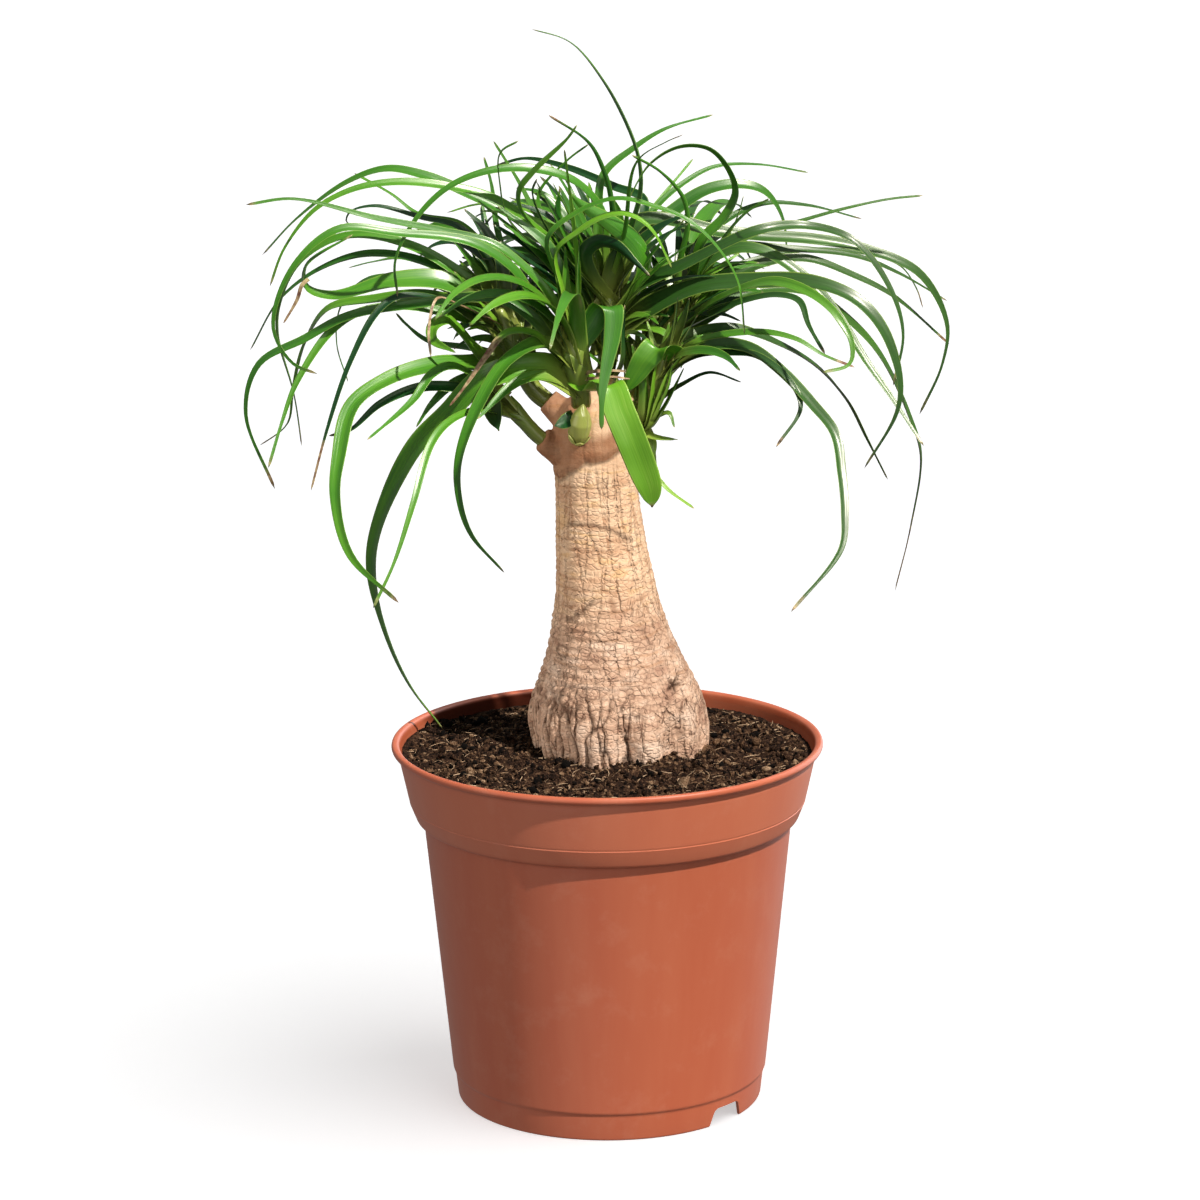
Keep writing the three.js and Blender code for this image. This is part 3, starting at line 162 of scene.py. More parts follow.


# A leaf's tint is partly its own colour and partly painted light and shade.
LEAVES: dict[str, tuple[Leaf, ...]] = {
    "shoot_front": (
        Leaf(.35, 9, 26, [(-26, 298, -18), (-47, 293.5, -23), (-61.7, 279.5, -21), (-75, 266, -17),
             (-89.8, 235.6, -6), (-92.8, 216.8, 2), (-88, 192, 11), (-78.5, 169.5, 19), (-65, 150.6, 26)],
             tint=Tint.BRIGHT, wider=.84),
        Leaf(.55, 5.6, -62, [(-24, 307.7), (-36.8, 301), (-48.6, 283), (-57, 261), (-57, 246), (-52.5, 231),
             (-39.6, 215)], finished=((-24, 307.7), (-37.6, 301), (-49.6, 283), (-57.6, 261), (-57.7, 246),
             (-53.2, 231), (-40, 215))),
        Leaf(.25, 5, -36, [(-21, 294), (-29, 294), (-37, 290), (-50, 277)]),
        Leaf(.38, 11.5, 0, [(-4, 289.8, -21), (1.5, 289.8, -27), (5.4, 277.8, -31), (9.9, 267.8, -32),
             (13.8, 257.8, -31), (17, 249.8, -30), (18.6, 242.8, -28)], tint=Tint.PALE, held=True, flare=0,
             taper=5, finished=((-4, 289, -19), (1.5, 290.4, -25), (6, 279, -30), (10.4, 268, -31.6),
             (14.3, 257.8, -31), (17.4, 249, -30), (18.4, 241, -28)), fuller=9),
        Leaf(.75, 8.6, 0, [(-7, 315, -14), (-2, 321.5, -15), (1, 320, -21), (-.5, 309.6, -24),
             (-1.4, 298, -25), (-1.3, 287, -25), (1, 279, -25)], held=True, flare=0, taper=1.6,
             finished=((-6, 313, -14), (-.6, 321, -15), (3.4, 320.6, -21), (3, 309.6, -25), (.8, 298, -29),
             (-1, 287, -32), (-1.4, 272.6, -33)), wider=1.16, fuller=0),
        Leaf(.6, 3.8, -14, [(-24, 313.5), (-34, 322), (-44, 325.5), (-71, 323.3), (-99.5, 318.5),
             (-117, 309.5), (-135, 299.6), (-140.6, 280), (-129.9, 249.5)], dry=.96),
        Leaf(.8, 3, -20, [(-21, 326), (-32, 338.5), (-43, 346.5), (-62, 351.5), (-89, 357), (-120, 364.4),
             (-138.5, 362.2)]),
        Leaf(.7, 3.8, -48, [(-28, 326), (-35, 336.5), (-51, 347), (-80, 351), (-103, 352.5), (-121.3, 337),
             (-129, 314), (-122, 300), (-112, 295.4)]),
        Leaf(.45, 3.4, -34, [(-20, 304), (-27, 311), (-38, 311.5), (-47, 301), (-54, 291), (-61, 282)],
             tint=Tint.BRIGHT, dry=.55),
        Leaf(.9, 2.2, -14, [(-10, 330), (-11.5, 352), (-15, 383)], tint=Tint.PALE),
        Leaf(.85, 5, -10, [(-15, 325), (-17.5, 337), (-22, 346), (-30, 353), (-41, 361)], tint=Tint.OLIVE),
        Leaf(.9, 4.6, -14, [(-14.5, 322), (-14.8, 333), (-15, 345)], tint=Tint.OLIVE),
        Leaf(.85, 4.2, -17, [(-11, 322), (-10.6, 334), (-9.5, 348)], tint=Tint.OLIVE),
        Leaf(.8, 5, -26, [(-17, 328), (-19, 343), (-10, 351), (-1, 356.4), (7.2, 358), (13.7, 355.7),
             (19.4, 350.5), (26.5, 336)], tint=Tint.BRIGHT),
        Leaf(.95, 2.4, -30, [(-17, 330), (-22, 348), (-10.6, 358.3), (5, 363.8), (21, 360.2), (33, 355),
             (43.5, 345.2), (52, 331), (54.7, 309.5)]),
    ),
    "shoot_left_low": (
        Leaf(.7, 4.6, -30, [(-44, 286), (-52.6, 289), (-71.7, 290), (-88, 283.4), (-100, 273),
             (-108.4, 270.7)], tint=Tint.DARK),
        Leaf(.9, 3.8, -56, [(-50, 294), (-60, 298.5), (-67.7, 295), (-75, 285), (-93.3, 269)]),
        Leaf(.6, 3, -76, [(-48, 281), (-60, 277), (-68, 268), (-75.5, 244), (-83.6, 219.6), (-92.3, 201)]),
        Leaf(.8, 6.4, -24, [(-42, 288), (-44.5, 286), (-43.9, 280.5), (-41.5, 272)], tint=Tint.DARK,
             wider=1.25, fuller=3),
        Leaf(.9, 4.6, -48, [(-46, 294), (-58, 292), (-68, 283), (-74, 274)]),
    ),
    "shoot_left_high": (
        Leaf(.6, 6.6, -96, [(-46, 302), (-65, 301.8), (-85, 295.5), (-98.5, 283.7), (-104.2, 262.6),
             (-105.9, 246), (-99.5, 224), (-80.8, 204)], dry=.97, finished=((-46, 300), (-65, 299.4),
             (-85, 293.4), (-99, 283), (-104.6, 262.6), (-106.3, 246), (-101, 223), (-82, 203.2))),
        Leaf(.9, 3.6, 24, [(-50, 330), (-75, 346), (-100, 350), (-117.8, 340.4), (-126.3, 324),
             (-127.5, 311.4), (-121.7, 287.7), (-119, 266.5)], dry=.96),
        Leaf(.85, 3.6, 22, [(-46, 322), (-66, 338), (-90, 343), (-109, 337.8), (-126, 325.4),
             (-138.3, 305)]),
        Leaf(.8, 7, -10, [(-44, 318), (-60, 330), (-81, 331), (-107, 325.5), (-115, 330), (-113.5, 338.5),
             (-97, 348.5)], finished=((-44, 319), (-60, 331.4), (-81, 332.6), (-106, 326.6), (-115.6, 330),
             (-115, 338.5), (-97, 350.4)), wider=1.2),
        Leaf(.75, 5.6, 58, [(-46, 318), (-70, 326), (-91, 325), (-108, 321.4), (-117, 309), (-122, 290),
             (-124.5, 276), (-135.7, 267)], dry=.95),
        Leaf(.7, 3.6, -36, [(-45, 314), (-75, 322), (-95, 320), (-107, 312), (-120.5, 292), (-126.5, 276.4),
             (-132.3, 258)]),
        Leaf(.75, 3, -62, [(-46, 314), (-65, 325), (-80, 326), (-88.4, 320), (-99.6, 299.6), (-109, 273),
             (-115.8, 248.7)], tint=Tint.DARK, dry=.86),
        Leaf(.85, 2.4, 80, [(-46, 320), (-70, 332), (-92, 333), (-102.8, 322), (-104.5, 307.5),
             (-100.3, 292)]),
        Leaf(.5, 2.8, 46, [(-50, 305), (-69, 308.5), (-77.3, 315), (-81.2, 319.4)]),
        Leaf(.8, 2, -40, [(-55, 322), (-65, 325), (-68.4, 313), (-67.8, 302)], tint=Tint.STRAW, dry=0,
             wider=.6),
        Leaf(.5, 5.2, -18, [(-47, 302), (-56.5, 313), (-61.6, 317), (-66.8, 314), (-67, 309), (-58, 303.5)],
             tint=Tint.BRIGHT, wider=1.6),
        Leaf(.9, 2.8, 66, [(-60, 335), (-78, 341), (-90.4, 339.5), (-99.3, 337.3)]),
        Leaf(.95, 2.2, 36, [(-44, 340), (-55, 354), (-72, 358.4), (-82, 366), (-96.3, 374.2)]),
        Leaf(.9, 3, 6, [(-45, 340), (-56, 353), (-70, 356.7), (-88.6, 361.5), (-98.3, 359), (-99.6, 355),
             (-94, 354)], tint=Tint.DARK),
        Leaf(.95, 2.6, 30, [(-39, 340), (-41.7, 354.5), (-43.2, 369), (-46.1, 380.3)]),
    ),
    "shoot_crown": (
        Leaf(.8, 4.8, 30, [(-5, 328), (-15, 340), (-33, 356), (-52, 366), (-70, 373.6), (-84, 376),
             (-99, 371), (-119, 356.7), (-132.7, 342.4)]),
        Leaf(.75, 4.2, -14, [(-8, 332), (-22, 349), (-42, 364), (-60, 369), (-80, 370.8), (-97, 368),
             (-112, 360), (-124, 345), (-130, 330)]),
        Leaf(.9, 4.6, -26, [(1, 342), (0, 358), (-10, 370), (-25, 375.3), (-42.5, 375.2), (-59.3, 369),
             (-72.4, 356.7), (-81, 340), (-80.3, 325.5)]),
        Leaf(.9, 3.4, 55, [(10, 342), (15.5, 363), (4, 368.4), (-14, 376), (-30, 379.5), (-42, 376.5)],
             tint=Tint.DARK),
        Leaf(.95, 2.4, 12, [(8, 345), (14.1, 365.8), (13.6, 378.6), (9.2, 392), (0, 409.3), (-12.4, 424),
             (-27.2, 429.2)], wider=1.4),
        Leaf(.95, 2, -14, [(4, 345), (2.9, 364), (0, 375), (-5.6, 385.5), (-21, 396.2)], dry=.93),
        Leaf(.85, 5.6, -22, [(-14, 342), (-31, 359), (-32.5, 367), (-26.8, 374.7), (-14, 386.8),
             (-9.8, 392.5)], taper=3),
        Leaf(.9, 2.4, 18, [(-12, 340), (-25, 356), (-33, 371), (-42.3, 386.3)]),
        Leaf(.85, 2, -20, [(-16, 338), (-36, 355), (-39.9, 370), (-39.7, 381.7), (-32.4, 386.4)]),
        Leaf(.9, 1.9, 24, [(-10, 340), (-24, 358), (-24.9, 366), (-14, 378.5), (-5.3, 385)]),
        Leaf(.7, 4, -20, [(0, 324), (-10.5, 336), (-19.8, 349.2), (-26.2, 361.4), (-27.4, 367.2),
             (-25.5, 371.7)], tint=Tint.DARK),
        Leaf(.95, 5, 12, [(-11, 340), (-17.5, 356), (-17, 368)], taper=6),
        Leaf(.95, 3, 34, [(-2, 345), (-2, 358), (0, 372.9), (11.8, 383.3), (24, 390.6), (42.6, 395.9)]),
        Leaf(.9, 1.8, -36, [(8, 350), (13, 378), (24.5, 385.7), (31, 388.4)], dry=.95),
        Leaf(.9, 2.4, 62, [(11, 345), (20.5, 360.5), (31, 369.6), (42.6, 375.7), (59.3, 376.6),
             (79.4, 373.2)]),
        Leaf(.85, 5.6, 42, [(11, 343), (26, 358), (39.7, 366.9), (53, 369), (62.6, 366), (69.6, 355),
             (71.2, 335)], tint=Tint.OLIVE),
        Leaf(.9, 2.2, 50, [(11, 348), (21.3, 362.5), (34.7, 378.9)]),
        Leaf(.8, 5.4, 44, [(5, 340), (14, 355), (28, 355), (41, 351.5), (60, 349), (80, 347.5),
             (100, 343.8), (122.4, 333.8), (133.4, 314), (131.8, 297.6), (123, 277.5)]),
        Leaf(.65, 4.2, -8, [(11.4, 328.6, 6), (31, 338, -1), (59, 350.8, -5), (78.6, 352.7), (96.6, 347),
             (110.6, 329), (116.4, 310), (112.6, 289)]),
        Leaf(.6, 8.6, -12, [(12, 328), (15.5, 338), (11.5, 346.7), (2, 354.5), (-8, 361), (-14, 366.6)],
             taper=3),
        Leaf(.5, 7.6, -26, [(17.8, 321.5), (37, 329.5), (59, 331.3), (81.6, 330.5), (97.7, 324),
             (108.8, 311.6), (115.4, 291), (114.2, 278.5), (101.5, 256)], tint=Tint.OLIVE),
        Leaf(.5, 3.4, -2, [(10, 313), (21, 312), (25.6, 309), (30.4, 300.3), (29.7, 296.4)]),
        Leaf(.8, 9, 6, [(3.4, 334), (5, 346)], tint=Tint.OLIVE, taper=3),
        Leaf(.75, 6.6, -8, [(-6, 336), (-7, 343), (-2, 347), (5, 345.5), (12, 339), (18, 333)],
             tint=Tint.DARK),
    ),
    "shoot_right_high": (
        Leaf(.9, 3.6, 6, [(34, 332), (38, 347), (46.4, 356), (51, 365.5), (48.3, 374.6), (41, 382.5),
             (29.7, 383.5), (18, 376.8), (9, 362)], wider=1.3),
        Leaf(.85, 3.2, 46, [(31, 330), (37, 346), (46.4, 354.5), (61.2, 361.2), (78.6, 360.6),
             (100.2, 355)]),
        Leaf(.9, 2, 22, [(40, 338), (60, 350), (74.7, 354), (91.6, 358.7), (110, 362.6), (123.7, 364)]),
        Leaf(.9, 2, -22, [(29, 336), (32.5, 352.8), (30.8, 363.8), (22, 374), (11, 380.5)]),
        Leaf(.9, 1.8, 12, [(41, 336), (51.5, 355.5), (54.2, 364.6)], tint=Tint.PALE),
        Leaf(.9, 2.2, -14, [(38, 335), (45.6, 347), (54.7, 357.4), (64.2, 363.2)], tint=Tint.BRIGHT),
        Leaf(.8, 3.8, 56, [(36, 334), (46, 344), (71, 343.7), (98, 340.6), (114, 334), (133.7, 322.5)],
             tint=Tint.BRIGHT),
        Leaf(.7, 3.8, 40, [(38, 322), (51.4, 333.7), (66.8, 339.4), (79.6, 339.7), (96.4, 333.4),
             (112.3, 325), (134.6, 305.4)], dry=.96),
        Leaf(.75, 2.4, 74, [(42, 332), (70, 342), (95, 342.5), (114.7, 336.8), (121.5, 327.6),
             (124.2, 319.5)], dry=.95),
        Leaf(.75, 5.4, -40, [(33, 330), (41, 340), (52, 344.3), (62.6, 342.7), (76, 334), (89, 320),
             (102.3, 299), (112.6, 284), (125, 265)], tint=Tint.BRIGHT),
        Leaf(.6, 4.8, 84, [(40, 312), (60, 319), (80, 319), (94.6, 313.7), (107.5, 301), (119, 276),
             (123, 260.6), (118.6, 233), (113, 205.5)], dry=.84, finished=((40, 318), (60, 328), (80, 326.6),
             (96, 315), (108.2, 301), (119.7, 276.5), (124.2, 261), (120.4, 233), (114.2, 206.5))),
        Leaf(.7, 4.2, -52, [(36, 316), (45, 320), (56, 324), (68, 325.6), (76, 323), (79.6, 313.5),
             (86, 302)]),
        Leaf(.75, 3.8, -66, [(45, 325), (65.5, 331), (79.6, 326), (89, 317.5), (95.2, 306), (94.8, 298),
             (84.7, 294.8)], tint=Tint.BRIGHT, finished=((45, 325), (65.5, 331), (80, 326.4), (90, 318),
             (96.4, 306.4), (95.6, 298), (84.7, 294.6)), wider=1.35),
        Leaf(.8, 8.6, 30, [(32, 324, 18), (35, 335, 24), (44, 346, 32)], tint=Tint.DARK, taper=3, wider=.6),
        Leaf(.75, 8, -14, [(35, 318), (43, 325), (52, 328.5), (62, 326.5)], taper=3),
    ),
    "shoot_right_low": (
        Leaf(.85, 10.5, 0, [(26, 303, -14), (20.5, 305, -19), (16, 300.5, -20), (12.5, 295, -19),
             (7.7, 286.8, -17)], tint=Tint.BRIGHT, held=True, flare=0, taper=4),
        Leaf(.8, 3.8, 34, [(33, 309), (50.3, 312.5), (67.2, 307), (82.8, 297.7), (94.5, 284.5),
             (102.3, 269), (111, 251.5)], wider=1.25),
        Leaf(.85, 2.8, -30, [(38, 308), (61, 311), (75, 308), (85.4, 301.7), (97.7, 296.6)], dry=.9),
        Leaf(.75, 4.4, -96, [(41, 308), (56.8, 307), (69.8, 297), (81.5, 284), (90.5, 271), (92.8, 255),
             (94, 238.5), (91.6, 225), (72.3, 199.7)], dry=.97, finished=((41, 306), (56, 305), (69, 295.5),
             (81, 282.5), (90, 270.6), (92.8, 255), (94.1, 238.5), (92.8, 224), (73, 198.4)), wider=1.1),
        Leaf(.7, 3.2, -52, [(37, 302.4), (50, 303), (59.4, 301.7), (71.7, 292.4), (76.6, 281), (67, 265)],
             dry=.96),
        Leaf(.2, 2.6, -22, [(24, 286.4), (30, 290.3), (41, 295), (53.4, 291)], tint=Tint.DARK),
        Leaf(.12, 2.2, -22, [(18.6, 268), (18.2, 257.6), (24, 249), (35, 240.5)], tint=Tint.PALE),
        Leaf(.12, 2.8, -18, [(18, 270), (28.7, 268.3)], tint=Tint.PALE, taper=6),
        Leaf(.15, 2.6, -14, [(19.8, 277.6), (25, 279), (27.2, 273)]),
        Leaf(.7, 4.8, -40, [(28, 300), (38, 299), (46, 292), (50, 284)], finished=((28, 302), (38, 304),
             (47, 301.5), (53, 295.5))),
    ),
}

# ---- Where the leaves run ---------------------------------------------------------------------------

VIEW_DISTANCE = 1705
VIEW_HEIGHT = 618
FINE_STEPS = 48
BASE_STEPS = 1.4
STEPS_PER_EFFORT = 2.4
MOST_STEPS = 9
TURN_PER_EFFORT = 2.2
LEAF_FACE = math.radians(45)
FLARE_LENGTH = .07
LONG_FLARE = .2
KEEL_MAX = 1.6
MARGIN = .14  # how far the finished blade's thin margin reaches past the solid's
TIP_HALF = .42
TIP_LENGTH = 3
GOLDEN_ANGLE = 2.4
BEND_STEP = 5
BEND_SLIDES = 7
BEND_BOWS = 5
CLEARANCE = .5
NEIGHBOUR_RANGE = 60
CURVE_MARKS = 200  # marks on a curve that its length is measured by

# The solids' drawn leaves: shoot, how many and their headings; then their lengths and their angles.
FILLERS = [("shoot_crown", 15, (30, 150)), ("shoot_right_high", 9, (0, 100)),
           ("shoot_left_high", 8, (70, 190)), ("shoot_front", 4, (190, 290))]
FILLER_LENGTHS = (70, 168)
FILLER_FALLS = (-78, -30)
FILLER_SWAY = (-34, 34)
FILLER_RISE = (52, 82)
WHOLE = (.3, 1)  # the part of a stem that bears leaves
# Small things that only the finished plant has: a tuft low on the right, a leaf's end beside the bud,
# a dried end that hangs from a curled leaf, two dry strands before the front stem, and fillers.
DETAILS: dict[str, tuple[Leaf, ...]] = {
    # The tuft's bright and pale tints are partly painted light.
    "shoot_right_low": (
        Leaf(.15, 4.8, 0, [(16, 275, -10), (18, 285, -13), (19.4, 296, -15), (23, 305, -15)], Tint.BRIGHT),
        Leaf(.15, 4.2, 0, [(16.6, 274, -11), (20.4, 284, -14), (25, 295, -16), (32, 304, -15)], Tint.PALE),
        Leaf(.2, 3.8, 0, [(17, 274, -10), (22.6, 281, -13), (27, 289, -14), (31, 297, -13)], Tint.BRIGHT),
        Leaf(.2, 4, 0, [(14.6, 277, -11), (15, 287, -14), (15, 295, -15), (17, 302, -14)]),
        Leaf(.25, 3.4, 0, [(17.6, 276, -12), (22, 284, -15), (25, 291, -17), (26.4, 299, -18)], Tint.PALE),
        Leaf(.3, 4.6, 0, [(17, 279, -6), (21.6, 289, -5), (27.6, 300, -4), (34, 310, -2)]),
        Leaf(.12, 5, 0, [(16.8, 271, -3), (17.9, 262, -5), (18.3, 252, -5), (18, 241, -5)], Tint.DARK,
             flare=.2, taper=5),
    ),
    "shoot_left_high": (
        Leaf(0, 1.6, 0, [(-114.8, 333, -9), (-117.4, 330.6, -9.4), (-119.4, 325, -9.8),
                         (-122.6, 319.4, -10), (-125, 315.6, -10.2)], Tint.STRAW, 0, flare=0, taper=1.6),
        Leaf(.8, 5, 20, [(-44, 338), (-56, 347), (-66, 346), (-74, 339)], Tint.DARK),
        Leaf(.7, 4.4, 34, [(-46, 336), (-55, 351), (-64, 354), (-76, 350)]),
        Leaf(.8, 5.4, 12, [(-40, 340), (-46, 352), (-54, 360)], Tint.DARK),
    ),
    "shoot_crown": (
        Leaf(.6, 5.6, 40, [(-14, 344), (-28, 356), (-42, 360), (-52, 356)], Tint.DARK),
        Leaf(.7, 6.4, 30, [(-8, 344), (-16, 358), (-24, 366), (-34, 368)], Tint.OLIVE),
        Leaf(.8, 5.4, 24, [(-4, 346), (-6, 360), (-12, 372)], Tint.DARK),
        Leaf(.8, 5, 26, [(6, 348), (6, 358), (2, 366)]),
        Leaf(.05, 6, 0, [(6.4, 300, -2), (7, 310, -3), (8, 322, -4)], Tint.DARK),
        Leaf(.1, 5.4, 0, [(2, 300, -2), (.4, 308, -4), (-1, 318, -5)], Tint.DARK),
    ),
    "shoot_front": (
        Leaf(.02, 6, 0, [(-12.6, 278, -17.6), (-16, 275.6, -19), (-20, 274, -19.4)], Tint.DARK, flare=0,
             taper=8),
        Leaf(.4, 1.3, 0, [(-6, 295.4, -16), (2, 296, -18), (9.4, 295.6, -19)], Tint.STRAW, 0),
        Leaf(.35, 1.3, 0, [(-6, 292.8, -16), (2, 293.6, -18), (10, 292.6, -19)], Tint.STRAW, 0),
    ),
}
# Small leaves that fill its dense middle: shoot, how many, headings, lengths, how steeply their tips
# rise or fall, and where on the stem they start.
UNDERGROWTH = [("shoot_crown", 34, (-60, 240), (30, 96), (-50, 40), WHOLE),
               ("shoot_crown", 26, (90, 200), (44, 110), (10, 62), WHOLE),
               ("shoot_crown", 8, (-80, 40), (14, 34), (-20, 40), (.05, .5)),
               ("shoot_right_high", 24, (-60, 150), (30, 96), (-50, 40), WHOLE),
               ("shoot_right_high", 12, (100, 260), (16, 34), (10, 70), (.1, .6)),
               ("shoot_left_high", 30, (30, 240), (30, 96), (-50, 50), WHOLE),
               ("shoot_left_high", 16, (150, 260), (24, 60), (-70, -10), WHOLE),
               ("shoot_front", 10, (90, 200), (30, 96), (-50, 40), WHOLE),
               ("shoot_right_low", 14, (-180, 180), (16, 34), (44, 84), WHOLE),
               ("shoot_right_low", 8, (20, 110), (24, 60), (0, 60), WHOLE),
               ("shoot_left_low", 8, (90, 220), (24, 70), (-60, 20), WHOLE)]
# Their tints are mostly dark: painted shade in the plant's dense middle.
UNDERGROWTH_TINTS = [Tint.DARK, Tint.DARK, Tint.DARK, Tint.OLIVE, Tint.MID, Tint.MID, Tint.BRIGHT]
# Ellipses that together cover the dense middle as it is seen: centre x and z, half width and half height.
CORE = ((0, 332, 66, 35), (14, 296, 24, 26), (-14, 306, 16, 18), (-18, 358, 22, 20), (-47, 348, 19, 16),
        (-54, 316, 18, 14), (19, 284, 9, 20))
CORE_BACK = 60
FILLER_SEED = 20407
FILLER_TRIES = 400
FILLER_STEPS = 6
REACH = 96
HEAD = (0, 334, 80, 37)  # an ellipse like those of CORE


def unit(vectors: np.ndarray) -> np.ndarray:
    """Vectors scaled to length 1."""
    return vectors / np.maximum(np.linalg.norm(vectors, axis=-1, keepdims=True), 1e-12)


def smooth_step(low: float, high: float, value: np.ndarray | float) -> np.ndarray:
    """0 below low, 1 above high, and an even S in between."""
    t = np.clip((np.asarray(value, float) - low) / (high - low), 0, 1)
    return t * t * (3 - 2 * t)


def curve_places(points: np.ndarray, count: int) -> np.ndarray:
    """Places at even steps along a centripetal Catmull-Rom curve.

    Args:
        points: The points that the curve passes through.
        count: How many steps it is divided into.

    Returns:
        count + 1 places.
    """
    ends = np.vstack([2 * points[0] - points[1], points, 2 * points[-1] - points[-2]])

    def at(marks: np.ndarray) -> np.ndarray:
        """The curve's places at marks, counted in points."""
        k = np.minimum(marks.astype(int), len(points) - 2)
        w = (marks - k)[:, None]
        p0, p1, p2, p3 = (ends[k + i] for i in range(4))
        d0, d1, d2 = (np.sum((b - a) ** 2, 1)[:, None] ** .25 for a, b in ((p0, p1), (p1, p2), (p2, p3)))
        d1 = np.where(d1 < 1e-4, 1, d1)
        d0 = np.where(d0 < 1e-4, d1, d0)
        d2 = np.where(d2 < 1e-4, d1, d2)
        m1 = ((p1 - p0) / d0 - (p2 - p0) / (d0 + d1) + (p2 - p1) / d1) * d1
        m2 = ((p2 - p1) / d1 - (p3 - p1) / (d1 + d2) + (p3 - p2) / d2) * d1
        return p1 + m1 * w + (3 * (p2 - p1) - 2 * m1 - m2) * w ** 2 + (2 * (p1 - p2) + m1 + m2) * w ** 3

    marks = np.linspace(0, len(points) - 1, CURVE_MARKS + 1)
    steps = np.linalg.norm(np.diff(at(marks), axis=0), axis=1)
    lengths = np.concatenate([[0], np.cumsum(steps)])
    return at(np.interp(np.linspace(0, lengths[-1], count + 1), lengths, marks))


@dataclass
class Stations:
    """Places along a blade, with its crosswise, upward and lengthwise directions and half widths."""

    at: np.ndarray
    across: np.ndarray
    up: np.ndarray
    along: np.ndarray
    half: np.ndarray

    def coarse(self) -> Stations:
        """The few stations that the solid uses: closer together where the blade bends."""
        turn = np.arccos(np.clip(np.sum(self.along[1:] * self.along[:-1], axis=1), -1, 1))
        effort = np.concatenate([[0], np.cumsum(1 / FINE_STEPS + turn / TURN_PER_EFFORT)])
        total = effort[-1]
        steps = min(math.floor(BASE_STEPS + STEPS_PER_EFFORT * total + .5), MOST_STEPS)
        marks = [total * k / steps - 1e-9 for k in range(steps + 1)]
        kept = [int(np.argmax(effort >= mark)) for mark in marks]
        return Stations(self.at[kept], self.across[kept], self.up[kept], self.along[kept], self.half[kept])


def lay_stations(points: np.ndarray, leaf: Leaf, steps: int = FINE_STEPS) -> Stations:
    """Lays a blade's stations along its route, carrying its crosswise direction without twist.

    Args:
        points: The route's points in space.
        leaf: The leaf, for its width and how it is held.
        steps: How many steps the route is divided into.

    Returns:
        The stations from base to tip.
    """
    at = curve_places(points, steps)
    heading = (at[math.floor(.6 * steps + .5)] - at[0]) * (1, 1, 0)
    heading = unit(heading)
    level = np.array([1., 0, 0]) if leaf.held else np.array([-heading[1], heading[0], 0])
    roll = 0 if leaf.held else LEAF_FACE * heading[0]
    along = unit(np.vstack([at[1] - at[0], at[2:] - at[:-2], at[-1] - at[-2]]))
    across = np.empty_like(at)
    carried = level
    for i, way in enumerate(along):
        start = level if leaf.held else carried
        carried = start - way * (start @ way)
        carried = carried / math.sqrt(carried @ carried)
        if i == 0 and roll:
            carried = carried * math.cos(roll) + np.cross(way, carried) * math.sin(roll)
        across[i] = carried
    share = np.linspace(0, 1, steps + 1)
    clasp = 1 + leaf.flare * np.exp(-share / FLARE_LENGTH)
    half = leaf.width / 2 * clasp * (1 - share ** leaf.taper)
    return Stations(at, across, np.cross(along, across), along, half)


def segment_distances(p: np.ndarray, p2: np.ndarray, q: np.ndarray, q2: np.ndarray) -> np.ndarray:
    """Shortest distances between the segments p-p2 and q-q2, row by row."""
    d, e, r = p2 - p, q2 - q, p - q
    a, b, c, f, g = (np.sum(x * y, -1) for x, y in ((d, d), (d, e), (e, e), (d, r), (e, r)))
    slope = a * c - b * b
    s = np.where(slope > 1e-9, np.clip((b * g - c * f) / np.maximum(slope, 1e-12), 0, 1), 0)
    t = (b * s + g) / c
    past = (t < 0) | (t > 1)
    t = np.clip(t, 0, 1)
    s = np.where(past, np.clip((b * t - f) / a, 0, 1), s)
    return np.linalg.norm(r + d * s[..., None] - e * t[..., None], axis=-1)


def on_sight(spot: tuple[float, float], depth: float) -> np.ndarray:
    """A point seen at (x, z) against the plane y = 0, moved along its line of sight to a depth."""
    scale = 1 + depth / VIEW_DISTANCE
    return np.array([spot[0] * scale, depth, VIEW_HEIGHT - (VIEW_HEIGHT - spot[1]) * scale])


def seen(point: np.ndarray) -> tuple[float, float]:
    """Where a point is seen against the plane y = 0, as (x, z)."""
    scale = 1 + point[1] / VIEW_DISTANCE
    return point[0] / scale, VIEW_HEIGHT - (VIEW_HEIGHT - point[2]) / scale


def on_stem(name: str, share: float) -> np.ndarray:
    """The point at a share of a stem's length, counted in its rings."""
    stem = SHOOTS[name].stem
    along = share * (len(stem) - 1)
    k = min(int(along), len(stem) - 2)
    return np.array(stem[k][0], float) + (np.array(stem[k + 1][0]) - stem[k][0]) * (along - k)


def is_within(x: float, z: float, ellipse: tuple[float, float, float, float]) -> bool:
    """True if (x, z) lies within an ellipse: centre x and z, half width and half height."""
    return ((x - ellipse[0]) / ellipse[2]) ** 2 + ((z - ellipse[1]) / ellipse[3]) ** 2 < 1


def trunk_at(height: np.ndarray | float, column: int) -> np.ndarray:
    """The trunk profile's centre (1) or radius (2) at a height."""
    return np.interp(height, TRUNK_PROFILE[:, 0], TRUNK_PROFILE[:, column])


